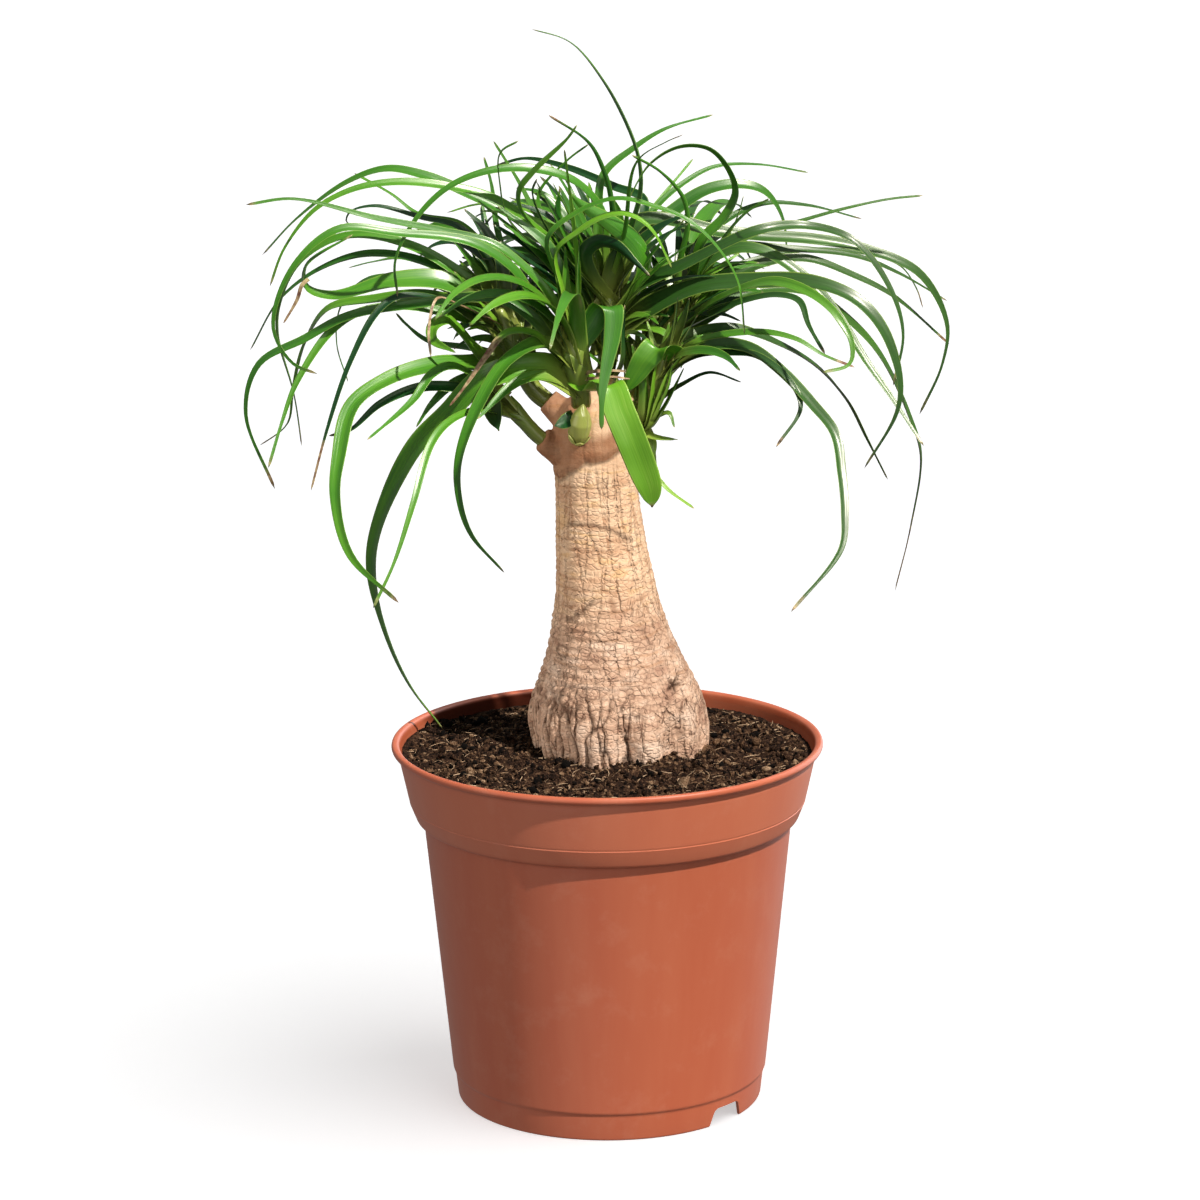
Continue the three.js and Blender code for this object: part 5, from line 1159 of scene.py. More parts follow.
@dataclass(frozen=True)
class WaxyLeaf:
    """A living strap leaf: waxy, finely veined, pale along its margins, letting some light through."""

    name: str = "waxy_strap_leaf"
    deep: str = "#07301A"
    dark: str = "#17541C"
    body: str = "#43861E"
    bright: str = "#71AD28"
    pale: str = "#A2C456"
    base: str = "#939F48"
    straw: str = "#C9B48C"
    dried: str = "#7A5340"
    through: str = "#F4FF9A"

    def build(self) -> bpy.types.Material:
        """Builds the finish.

        Returns:
            The material.
        """
        made, tree, output = new_material(self.name)
        told = [add_node(tree, "Attribute", attribute_name=name).outputs["Vector"] for name in (PLACE, LOOK)]
        (across, along, _), (tint, dry, base) = (add_node(tree, "SeparateXYZ", {0: vector}).outputs
                                                 for vector in told)
        coord = add_node(tree, "TexCoord").outputs["Object"]
        # Veins run the whole leaf, about nine to its width, and fade in and out every 60 mm.
        lanes, reach = (add_node(tree, "Math", {0: value, 1: factor}, operation="MULTIPLY")
                        for value, factor in ((across, 4.5), (along, .016)))
        lane = add_node(tree, "CombineXYZ", {0: lanes, 1: reach, 2: tint})
        veins = add_node(tree, "TexNoise", {"Vector": lane, "Scale": 2.2, "Detail": 2})
        patches = add_node(tree, "TexNoise", {"Vector": coord, "Scale": 45, "Detail": 3})
        # The margin is a pale line, a twentieth of the width.
        beside = add_node(tree, "Math", {0: across}, operation="ABSOLUTE")
        level, edge, rough = (add_node(tree, "MapRange", dict(zip(SPAN, span))) for span in (
            (tint, -1, 1, -.14, .62), (beside, .86, .97, 0, .6), (veins, 0, 1, .26, .46)))
        for pattern, share in ((patches, .22), (veins, .3)):
            level = add_node(tree, "Math", {0: pattern, 1: share, 2: level}, operation="MULTIPLY_ADD")
        green = add_node(tree, "ValToRGB", {"Fac": level},
                         ((0, self.deep), (.25, self.dark), (.5, self.body), (.78, self.bright),
                          (1, self.pale)))
        spots = add_node(tree, "TexNoise", {"Vector": coord, "Scale": 400, "Detail": 3})
        husk = add_node(tree, "ValToRGB", {"Fac": spots}, ((.35, self.dried), (.65, self.straw)))
        colour = green
        for share, over in ((edge, linear(self.pale)), (base, linear(self.base)), (dry, husk)):
            colour = add_node(tree, "Mix", {0: share, 6: colour, 7: over}, data_type="RGBA")
        bump = add_node(tree, "Bump", {"Height": veins, "Strength": .35, "Distance": .0003})
        waxy = add_node(tree, "BsdfPrincipled", {"Base Color": colour, "Roughness": rough, "Normal": bump,
                                                 "IOR": 1.45, "Coat Weight": .55, "Coat Roughness": .27})
        glow = add_node(tree, "Mix", {0: 1., 6: colour, 7: linear(self.through)}, data_type="RGBA",
                        blend_type="MULTIPLY")
        lit = add_node(tree, "BsdfTranslucent", {"Color": glow})
        add_node(tree, "MixShader", {0: .3, 1: waxy, 2: lit}, feeds=output)
        return made


# ---- Pieces ----------------------------------------------------------------------------------------


@dataclass
class Pot:
    """The nursery pot: a tapered wall, a band under the lip, a stepped skirt, notches and drain holes."""

    sides: int = 192
    notch_azimuths: tuple[float, ...] = (-41, 139)
    notch_foot: float = 19.6
    notch_top: float = 14
    notch_height: float = 7.2
    notch_middle: float = 61
    notch_depth: float = 12
    notch_round: float = 1.8
    drain_holes: int = 8
    drain_radius: float = 4
    drain_circle: float = 46
    floor_middle: float = 8.8
    corner_round: float = .9

    def _shell(self) -> bmesh.types.BMesh:
        """The uncut shell, turned from its outline, with a fine line round the foot of the band."""
        band = [(79, 123.2), (79.15, 123.5), (79.0, 123.9), (79.25, 124.3)]
        outside = POT_OUTSIDE[:5] + band + POT_OUTSIDE[6:]
        profile = [(0, 8)] + POT_FOOT + outside + POT_INSIDE + [(0, FLOOR_TOP)]
        bm = bmesh.new()
        spin_profile(bm, rounded(profile, self.corner_round), self.sides)
        bmesh.ops.recalc_face_normals(bm, faces=bm.faces)
        return bm

    def _cutters(self) -> bmesh.types.BMesh:
        """The notches in the foot ring, rounded at the top, and the drain holes in the floor."""
        bm = bmesh.new()
        for azimuth in self.notch_azimuths:
            made = bmesh.ops.create_cube(bm, size=1)["verts"]
            for vert in made:
                width, height = ((self.notch_top, self.notch_height) if vert.co.z > 0
                                 else (self.notch_foot, -1))
                vert.co = Vector((vert.co.x * width, self.notch_middle + vert.co.y * self.notch_depth,
                                  height)) * MM
            top = [edge for edge in dict.fromkeys(edge for vert in made for edge in vert.link_edges)
                   if edge.verts[0].co.y != edge.verts[1].co.y and edge.verts[0].co.z > 0]
            bevelled = bmesh.ops.bevel(bm, geom=top, offset=self.notch_round * MM, affect="EDGES",
                                       segments=4, profile=.5, material=-1)
            turned = dict.fromkeys([vert for vert in made if vert.is_valid] + bevelled["verts"])
            bmesh.ops.rotate(bm, verts=list(turned), cent=(0, 0, 0),
                             matrix=Matrix.Rotation(math.radians(azimuth - 90), 3, "Z"))
        for i in range(self.drain_holes):
            turn = math.tau * (i + .5) / self.drain_holes
            centre = Vector((self.drain_circle * math.cos(turn), self.drain_circle * math.sin(turn),
                             self.floor_middle))
            bmesh.ops.create_cone(bm, cap_ends=True, segments=24, radius1=self.drain_radius * MM,
                                  radius2=self.drain_radius * MM, depth=4 * MM,
                                  matrix=Matrix.Translation(centre * MM))
        bmesh.ops.recalc_face_normals(bm, faces=bm.faces)
        return bm

    def build(self, material: bpy.types.Material) -> bpy.types.Object:
        """Builds the pot.

        Args:
            material: The moulded plastic.

        Returns:
            The pot's object.
        """
        bm = cut(self._shell(), self._cutters())
        # The lip and the edges are not quite true, as on any thin moulding.
        for vert in bm.verts:
            turn = math.atan2(vert.co.y, vert.co.x)
            vert.co.xy *= 1 + .0009 * math.sin(2 * turn + .6) * min(vert.co.z / .147, 1)
        piece = finish_piece(bm, "pot_shell", material, "pot")
        piece.data.set_sharp_from_angle(angle=math.radians(38))
        return piece


@dataclass
class Soil:
    """The potting soil: a mounded, crumbly top on a plain body, strewn with crumbs and fibres."""

    steps: int = 360
    rings: int = 84
    crumbs: int = 5200
    fibres: int = 750
    seed: int = 7
    edge: float = 81.55
    open_radius: float = 79
    trunk_middle: float = 5.8
    wall: tuple[tuple[float, float], ...] = (
        (0, FLOOR_TOP + .3), (59.4, FLOOR_TOP + .3), (71.6, 115.4), (74.6, 118), (77.1, 124), (80.9, 140.4))

    @staticmethod
    def height(x: np.ndarray, y: np.ndarray) -> np.ndarray:
        """The solid soil's top, without its crumbs."""
        return SOIL_EDGE_HEIGHT + SOIL_MOUND * (1 - smooth_step(SOIL_MOUND_EDGE, SOIL_RADIUS, np.hypot(x, y)))

    def surface(self, x: np.ndarray, y: np.ndarray) -> np.ndarray:
        """The crumbly top: lumps of 1 to 11 mm on the mound, packed down at the wall."""
        spots = np.stack([x, y, np.zeros_like(x)], -1)
        lumps = sum(rise * noises(spots, size, seed) for rise, size, seed in (
            (1.6, 11, 3.3), (1.6, 5, 8.1), (1.1, 2.4, 1.7), (.5, 1.2, 6.1)))
        out = np.hypot(x, y)
        loose = .35 + .65 * (1 - smooth_step(77, 81, out))
        # A heap lies against the trunk's foot at the front right, and a bank along the wall at the left.
        heap = 2.4 * np.exp(-((x - 22) ** 2 + (y + 29) ** 2) / 150)
        bank = 2.2 * smooth_step(58, 76, out) * smooth_step(.1, .9, -x / 81 - y / 120)
        return self.height(x, y) + heap + bank + lumps * loose - .6

    def _body(self, bm: bmesh.types.BMesh) -> None:
        """Turns the body and raises its top into crumbs."""
        top = [(self.edge * (1 - i / self.rings), SOIL_EDGE_HEIGHT) for i in range(self.rings + 1)]
        spin_profile(bm, list(self.wall) + top, self.steps)
        raised = [v for v in bm.verts if v.co.z > (SOIL_EDGE_HEIGHT - .01) * MM]
        at = np.array([v.co for v in raised]) / MM
        for vert, height in zip(raised, self.surface(at[:, 0], at[:, 1])):
            vert.co.z = height * MM

    def _spots(self, rng: np.random.Generator, count: int) -> tuple[np.ndarray, np.ndarray, np.ndarray]:
        """Random places on the open top, clear of the trunk and the wall."""
        radius = self.open_radius * np.sqrt(rng.uniform(0, 1, count * 2))
        turn = rng.uniform(0, math.tau, count * 2)
        x, y = radius * np.cos(turn), radius * np.sin(turn)
        bare = np.hypot(x - self.trunk_middle, y) > SOIL_MOUND_EDGE
        x, y = x[bare][:count], y[bare][:count]
        return x, y, self.surface(x, y)

    def _crumbs(self, bm: bmesh.types.BMesh, rng: np.random.Generator) -> None:
        """Strews lumps of 1 to 4 mm over the top."""
        for x, y, z in zip(*self._spots(rng, self.crumbs)):
            size = rng.gamma(1.6, .26) + .22
            crumb = new_mesh()
            look = crumb.verts.layers.float_vector[LOOK]
            made = bmesh.ops.create_icosphere(crumb, subdivisions=1, radius=1)["verts"]
            tone = min(rng.normal(.02, .12), .2)
            stretch = rng.uniform(.5, 1.5, 3) * size
            for vert in made:
                vert.co = Vector(rng.uniform(.55, 1.3) * c * s for c, s in zip(vert.co, stretch))
                vert[look] = (tone, 0, 0)
            bmesh.ops.rotate(crumb, verts=made, cent=(0, 0, 0),
                             matrix=Matrix.Rotation(rng.uniform(0, math.tau), 3, Vector(rng.normal(0, 1, 3))))
            for vert in made:
                vert.co = (vert.co + Vector((x, y, z + size * .25))) * MM
            take(bm, crumb)

    def _fibres(self, bm: bmesh.types.BMesh, rng: np.random.Generator) -> None:
        """Strews pale fibres, 2 to 11 mm long and 0.3 mm thick."""
        for x, y, z in zip(*self._spots(rng, self.fibres)):
            length = 2 + rng.gamma(2, 1.5)
            turn, lift = rng.uniform(0, math.tau), rng.normal(.05, .3)
            bend = rng.normal(0, .5)
            share = np.linspace(-.5, .5, 5)
            heading = turn + bend * share
            spine = np.stack([x + length * share * np.cos(heading), y + length * share * np.sin(heading),
                              z + .5 + length * share * math.sin(lift) - .3 * (2 * share) ** 2], -1)
            thick = rng.uniform(.09, .2) * np.array([.5, 1, 1, .9, .4])
            rings = tube_rings(spine, thick, 4)
            skin(bm, rings, {LOOK: channels(rings.shape[:2], rng.uniform(.05, .5), 0, 0)})

    def build(self, material: bpy.types.Material) -> bpy.types.Object:
        """Builds the soil.

        Args:
            material: The soil finish.

        Returns:
            The soil's object.
        """
        rng = np.random.default_rng(self.seed)
        bm = new_mesh()
        self._body(bm)
        self._crumbs(bm, rng)
        self._fibres(bm, rng)
        return finish_piece(bm, "soil_crumbs", material, "soil")


def tube_rings(spine: np.ndarray, radii: np.ndarray, around: int) -> np.ndarray:
    """Round rings about a spine, without twist.

    Args:
        spine: The centre line's places.
        radii: The radius at each place.
        around: How many points each ring has.

    Returns:
        The rings, as (along, around, 3).
    """
    way = unit(np.gradient(spine, axis=0))
    first = np.array([0., 1, 0]) if abs(way[0][1]) < .9 else np.array([1., 0, 0])
    side = np.empty_like(way)
    for i, along in enumerate(way):
        first = unit(first - along * (first @ along))
        side[i] = first
    rise = np.cross(way, side)
    turn = np.linspace(0, math.tau, around, endpoint=False)
    return (spine[:, None] + radii[:, None, None] * (
        side[:, None] * np.cos(turn)[None, :, None] + rise[:, None] * np.sin(turn)[None, :, None]))


def stem_line(stem: tuple[Ring, ...], steps: int) -> tuple[np.ndarray, np.ndarray]:
    """A stem's centre line and radii at even steps."""
    marks = np.linspace(0, len(stem) - 1, steps + 1)
    spine = curve_places(np.array([place for place, _ in stem], float), steps)
    return spine, np.interp(marks, range(len(stem)), [radius for _, radius in stem])


SHEATH_LENGTH = 30  # how long a stem or a scale counts as in the leaf finish, in millimetres


def wrap_scale(bm: bmesh.types.BMesh, spine: np.ndarray, radii: np.ndarray, picks: np.ndarray,
               heading: float, spread: np.ndarray, lift: np.ndarray, tint: float, base: np.ndarray,
               dry: float = 0) -> None:
    """Lays one thin clasping scale over a stem.

    Args:
        bm: The mesh that takes the faces.
        spine: The stem's centre line.
        radii: How far from it the scale's middle lies.
        picks: The steps of the centre line that the scale covers, from its foot to its tip.
        heading: The way that the scale faces, round the stem.
        spread: Half the angle that it covers, at each pick.
        lift: How far it stands off, at each pick.
        tint: How light it is.
        base: How near the colour of a leaf's base it is, at each pick.
        dry: How dry its tip is.
    """
    frames = tube_rings(spine, np.ones(len(spine)), 4)
    side, rise = (frames[picks, 0] - spine[picks])[:, None], (frames[picks, 1] - spine[picks])[:, None]
    turn = np.linspace(0, math.tau, 14, endpoint=False)
    angle = heading + spread[:, None] * np.cos(turn)[None]
    out = (radii[picks] + lift)[:, None] + .22 * np.sin(turn)[None] - .25 * (np.cos(turn) ** 2)[None]
    rings = spine[picks][:, None] + out[..., None] * (
        side * np.cos(angle)[..., None] + rise * np.sin(angle)[..., None])
    rings = capped(rings, rings[0].mean(axis=0), rings[-1].mean(axis=0))
    shares = np.linspace(0, 1, len(rings))[:, None]
    based = np.concatenate([base[:1], base, base[-1:]])[:, None]
    skin(bm, rings, {PLACE: channels(rings.shape[:2], np.cos(turn), SHEATH_LENGTH * shares, 0),
                     LOOK: channels(rings.shape[:2], tint, dry * smooth_step(.8, 1, shares), based)})


@dataclass
class Trunk:
    """The swollen trunk: one grown body with its branch stubs, ringed above and fissured below."""

    voxel: float = .66
    crown: float = 288.6
    levels: int = 240
    ease: int = 12
    deep_clefts: tuple[float, ...] = (-85, -52)
    rings: tuple[float, ...] = (171, 177, 183, 187, 193.5, 198, 204.5, 212, 216, 221, 227, 231.5, 237, 244.5,
                                252)
    # Each knot as x, height, radius and how far it stands out.
    knots: tuple[tuple[float, float, float, float], ...] = (
        (26.5, 174.2, 2.6, -1.1), (-14.2, 169.8, 3.6, 1.5), (-17, 187, 1.8, .5))
    # Painted shadows of thin leaves, slanting across the front, as (x, height) points.
    leaf_shadow_lines: tuple[tuple[tuple[float, float], ...], ...] = (
        ((-14, 238), (-5, 238), (3, 235.4), (9, 231.4)), ((-14.6, 199.4), (-10, 203), (-5, 208)))
    # The lower edge of the collar and of its painted shadow on the front, as (x, height) points, and its
    # height at the back.
    collar_front: tuple[tuple[float, float], ...] = (
        (-18, 254), (-16, 256), (-11, 259), (-8, 262), (0, 263), (5, 266), (12, 268))
    collar_back: float = 261
    fissured_side: float = math.radians(140)

    def _blank(self) -> bpy.types.Object:
        """The smooth body and its stubs, merged into one skin."""
        bm = new_mesh()
        heights = np.linspace(TRUNK_PROFILE[0, 0], self.crown, self.levels)
        # The profile is eased over a few levels each way, so that its points don't show.
        kernel = np.exp(-.5 * (np.arange(-self.ease, self.ease + 1) / 3.2) ** 2)
        kernel /= kernel.sum()
        radii, centres = (np.convolve(np.pad(trunk_at(heights, column), self.ease, "edge"), kernel, "valid")
                          for column in (2, 1))
        radii[-8:] *= np.linspace(1, .5, 8)
        turn = np.linspace(0, math.tau, 160, endpoint=False)
        azimuth = np.degrees(turn)
        away = np.abs((azimuth[:, None] - TOE_AZIMUTHS + 540) % 360 - 180)
        depth = TOE_CLEFT * np.where(np.isin(TOE_AZIMUTHS, self.deep_clefts), 1.9, 1)
        toes = (depth * np.exp(-(away / TOE_HALF_ANGLE) ** 2)).sum(1)
        fade = 1 - smooth_step(TOE_FULL, TOE_TOP, heights)
        reach = radii[:, None] - fade[:, None] * toes[None]
        rings = np.stack([centres[:, None] + reach * np.cos(turn), reach * np.sin(turn),
                          np.broadcast_to(heights[:, None], reach.shape)], -1)
        skin(bm, capped(rings, (TRUNK_PROFILE[0, 1], 0, TRUNK_PROFILE[0, 0]), TRUNK_TOP))
        for shoot in SHOOTS.values():
            (low, low_radius), (high, high_radius) = shoot.stub
            share = np.linspace(0, 1, 10)[:, None]
            spine = np.array(low) + (np.array(high, float) - low) * share
            radius = low_radius + (high_radius - low_radius) * share[:, 0]
            skin(bm, capped(tube_rings(spine, radius, 32), spine[0], spine[-1]))
        bmesh.ops.recalc_face_normals(bm, faces=bm.faces)
        blank = to_object(bm, "trunk_blank")
        remesh = blank.modifiers.new("skin", "REMESH")
        remesh.mode = "VOXEL"
        remesh.voxel_size = self.voxel * MM
        blank.modifiers.new("ease", "SMOOTH").iterations = 6
        return blank

    def _rings(self, flat: np.ndarray) -> tuple[np.ndarray, np.ndarray, np.ndarray, np.ndarray]:
        """The leaf scars that ring the neck.

        Args:
            flat: Places on the smooth body, in millimetres.

        Returns:
            The height counted along the wavy rings, how many rings lie below, how strong the scar is,
            broken in places, and how strong the ledge beside it.
        """
        height = flat[:, 2] + noises(flat, 15, 5.1) * 1.6 + noises(flat, 4, 2.2) * .4
        below = np.searchsorted(self.rings, height)
        nearest = np.min(np.abs(height[:, None] - np.array(self.rings)[None]), axis=1)
        neck = smooth_step(166, 184, flat[:, 2]) * (1 - smooth_step(254, 259, flat[:, 2]))
        broken = smooth_step(-.25, .2, noises(flat, 8, 9.7))
        scar = np.exp(-(nearest / .5) ** 2) * neck * (.25 + .75 * broken)
        return height, below, scar, np.exp(-((nearest - 1.1) / .9) ** 2) * neck

    def _wounds(self, x: np.ndarray, z: np.ndarray) -> tuple[np.ndarray, np.ndarray]:
        """How far the knots on the front stand out, and how dark their painted shade and the painted leaf
        shadows are.
        """
        stand, dark = np.zeros_like(x), np.zeros_like(x)
        for spot_x, spot_z, spread, rise in self.knots:
            off = np.hypot(x - spot_x, z - spot_z) / spread
            # A torn pit is darkened with painted shade, and a raised knot gets a ring of painted shade round
            # its foot.
            if rise < 0:  # a torn pit with five arms
                off = off / (1 + .55 * np.cos(5 * np.arctan2(z - spot_z, x - spot_x) + .8))
                shade = .95 * np.exp(-(off / .8) ** 4)
            else:
                shade = .6 * np.exp(-((off - 1.15) / .25) ** 2)
            stand += rise * np.exp(-off ** 4)
            dark = np.maximum(dark, shade)
        for line in self.leaf_shadow_lines:
            for (ax, az), (bx, bz) in zip(line, line[1:]):
                along, rise = bx - ax, bz - az
                share = np.clip(((x - ax) * along + (z - az) * rise) / (along ** 2 + rise ** 2), 0, 1)
                near = np.hypot(x - ax - share * along, z - az - share * rise)
                dark = np.maximum(dark, .6 * np.exp(-(near / .9) ** 2))
        return stand, dark

    def relief(self, at: np.ndarray) -> tuple[np.ndarray, np.ndarray, np.ndarray]:
        """How far the bark stands out at each place, and what its finish is told there.

        Args:
            at: Places on the smooth body, in millimetres.

        Returns:
            The relief in millimetres; the shares of painted shade (in fissures, grooves and pits, and thin
            leaf shadows), of scars, and of the collar, partly painted shadow; and how far the cracks step
            aside, the share of the fissured side, and the share of the smooth upper bark.
        """
        x, y, z = at.T
        azimuth = np.arctan2(y, x - trunk_at(z, 1))
        reach = trunk_at(z, 2)
        flat = np.column_stack([np.cos(azimuth) * reach, np.sin(azimuth) * reach, z])
        # The left side of the foot is the most fissured.
        foot = 1 - smooth_step(158, 186, z)
        left = .15 + .85 * smooth_step(.6, .85, .5 + .5 * np.cos(azimuth + self.fissured_side))
        fissured = foot * (.15 + .85 * left)
        ring_height, below, scar, ledge = self._rings(flat)
        # Corky ropes run up the foot, leaning to the right away from the fissured side.
        sway = np.column_stack([noises(flat, 5, 1.1), noises(flat, 5, 4.4), np.zeros(len(z))]) * .9
        slant = np.zeros_like(flat)
        slant[:, 0] = .5 * (z - 150) * (1 - left) * foot
        ropes = 1 - smooth_step(0, .16, cells(flat + sway + slant, 6.4, 9))
        # Ridges ring the trunk between foot and neck.
        between = smooth_step(158, 168, z) * (1 - smooth_step(198, 208, z)) * (.4 + .6 * left)
        ridges = between * smooth_step(-.5, .6, np.cos(1.75 * ring_height + noises(flat, 7, 3.3)))
        stand = (.45 * noises(flat, 9, 2.9, 2.2) + .15 * noises(flat, 2, 7.7, 1.2) + .2 * ledge
                 + .5 * ridges - .26 * scar - 1.25 * ropes * fissured)
        # Painted shade darkens the deep fissures.
        painted_shade = .85 * ropes ** 2.6 * fissured
        # The collar begins at a wavy edge, with a groove under it, darkened by painted shade, and a swelling
        # above it.
        # Its brown is partly the bark's own and partly a painted shadow of the leaves above.
        lower = np.where(y < 0, np.interp(x, *zip(*self.collar_front)), self.collar_back)
        edge = z - lower - noises(flat, 4, 8.8) * .8
        collar_and_shadow = smooth_step(-.6, .9, edge) * (1 - .85 * smooth_step(8, 12, edge) * smooth_step(-8, -4, x))
        stand += .5 * np.exp(-((edge - 3.4) / 2) ** 2) - .5 * np.exp(-((edge + .5) / .8) ** 2)
        painted_shade = np.maximum(painted_shade, .5 * np.exp(-((edge + .5) / .7) ** 2))
        # The knots bring painted shade in their pits and round their feet, and the painted leaf shadows cross
        # the front.
        knotted, dark = self._wounds(x, z)
        stand += (y < 0) * knotted
        painted_shade = np.maximum(painted_shade, (y < 0) * dark)
        high = smooth_step(184, 222, z + 5 * noises(flat, 12, 6.6))
        shares = np.column_stack([painted_shade, .6 * np.clip(scar, 0, 1), .92 * np.clip(collar_and_shadow, 0, 1)])
        return stand, shares, np.column_stack([.45 * below, fissured, high])

    def build(self, material: bpy.types.Material) -> bpy.types.Object:
        """Builds the trunk.

        Args:
            material: The bark.

        Returns:
            The trunk's object.
        """
        bm = worked(self._blank())
        place = bm.verts.layers.float_vector.new(PLACE)
        look = bm.verts.layers.float_vector.new(LOOK)
        bm.normal_update()
        at = np.array([v.co for v in bm.verts]) / MM
        for vert, rise, shares, marks in zip(bm.verts, *self.relief(at)):
            vert.co += vert.normal * (rise * MM)
            vert[look] = shares
            vert[place] = marks
        return finish_piece(bm, "trunk_bark", material, "trunk")


@dataclass
class Foliage:
    """A leafy shoot: clasping leaf bases up a short stem, and the strap leaves that spring from them."""

    name: str
    around: int = 16
    steps: int = 72
    drawn_around: int = 10
    drawn_steps: int = 30
    seed: int = 11

    def _blade(self, bm: bmesh.types.BMesh, leaf: Leaf, points: np.ndarray,
               rng: np.random.Generator) -> None:
        """Skins one leaf: folded along its midrib, thin at the margins, and blunt at the tip."""
        around, steps = ((self.around, self.steps) if leaf.route
                         else (self.drawn_around, self.drawn_steps))
        run = lay_stations(points, leaf, steps)
        share = np.linspace(0, 1, steps + 1)
        reach = np.concatenate([[0], np.cumsum(np.linalg.norm(np.diff(run.at, axis=0), axis=1))])
        twist = 0 if leaf.held else rng.normal(0, .35)
        lean = twist * share ** 1.5
        across = run.across * np.cos(lean)[:, None] + run.up * np.sin(lean)[:, None]
        up = run.up * np.cos(lean)[:, None] - run.across * np.sin(lean)[:, None]
        turn = np.linspace(0, math.tau, around, endpoint=False)
        wide, high = np.cos(turn), np.sin(turn)
        clasp = 1 + leaf.flare * (np.exp(-share / FLARE_LENGTH) + np.exp(-share / LONG_FLARE))
        full = (leaf.wider * leaf.width / 2 + MARGIN) * clasp * (1 - share ** (leaf.taper + leaf.fuller))
        tip = TIP_HALF + .06 * leaf.width
        ending = np.clip((reach[-1] - reach) / (TIP_LENGTH + leaf.width * (.08 if leaf.held else .4)), 0, 1)
        half = np.maximum(full, tip) * np.sqrt(1 - (1 - ending) ** 2)
        half *= 1 + .05 * np.sin(reach / 11 + rng.uniform(0, 6)) * share
        half = np.maximum(half, 1e-4)
        fold = np.minimum(half * (.4 + .3 * np.exp(-share / .22)), KEEL_MAX)
        if leaf.held:
            fold = half * .16
        thick = np.minimum(.55, half * .6)
        groove = np.sqrt(wide ** 2 + .01) - 1
        level = fold[:, None] * groove[None] + .5 * thick[:, None] * (high * (1 - .4 * wide ** 2))[None]
        ripple = .06 * half[:, None] * np.sin(reach / 8 + rng.uniform(0, 6))[:, None] * (wide ** 3)[None]
        rings = (run.at[:, None] + across[:, None] * (half[:, None] * wide[None])[..., None]
                 + up[:, None] * (level + ripple)[..., None])
        rings[-1] = run.at[-1]
        dry = smooth_step(leaf.dry - .03, leaf.dry + .03, share + .012 * np.sin(reach))
        # Leaves on the right of the head are made darker and a little more olive.
        right = float(smooth_step(20, 90, run.at[:, 0].mean()))
        base = np.maximum(.9 * (leaf.flare > 0) * np.exp(-(reach / 15) ** 2), .1 * right)
        tint = leaf.tint.value - .85 * right + rng.normal(0, .2)
        skin(bm, rings, {PLACE: channels(level.shape, wide, reach[:, None], high),
                         LOOK: channels(level.shape, tint, dry[:, None], base[:, None])})

    @staticmethod
    def _stem(bm: bmesh.types.BMesh, shoot: Shoot) -> None:
        """Skins the core that the leaves spring from."""
        spine, radii = stem_line(shoot.stem, 24)
        rings = capped(tube_rings(spine, radii * shoot.stout, 20), spine[0], spine[-1] + (0, 0, 1.5))
        across = 2.5 * np.cos(np.linspace(0, math.tau, 20, endpoint=False))
        along = np.linspace(0, SHEATH_LENGTH, len(rings))[:, None]
        skin(bm, rings, {PLACE: channels(rings.shape[:2], across, along, 0),
                         LOOK: channels(rings.shape[:2], 0, 0, .8)})

    @staticmethod
    def _sheaths(bm: bmesh.types.BMesh, shoot: Shoot, rng: np.random.Generator) -> None:
        """Wraps the core in long, smooth, close-fitting leaf bases, each over the one above it."""
        spine, radii = stem_line(shoot.stem, 60)
        for i in range(shoot.sheaths):
            picks = np.arange(1 + 6 * i, 40 + 8 * i, 2)
            share = np.linspace(0, 1, len(picks))
            wrap_scale(bm, spine, radii * shoot.stout + .3 + .12 * (shoot.sheaths - i), picks,
                       i * GOLDEN_ANGLE + rng.uniform(0, .4), 2.4 * (1 - share ** 2.6) + .03,
                       0 * share, rng.normal(-.1, .25), np.linspace(.95, .5, len(picks)))

    def build(self, leaves: list[tuple[str, Leaf, np.ndarray]],
              material: bpy.types.Material) -> bpy.types.Object:
        """Builds the shoot.

        Args:
            leaves: Every leaf of the plant, of which this shoot takes its own.
            material: The leaf finish.

        Returns:
            The shoot's object.
        """
        rng = np.random.default_rng(self.seed)
        bm = new_mesh()
        self._stem(bm, SHOOTS[self.name])
        self._sheaths(bm, SHOOTS[self.name], rng)
        for name, leaf, points in leaves:
            if name == self.name:
                self._blade(bm, leaf, points, rng)
        return finish_piece(bm, self.name + "_leaves", material, self.name)


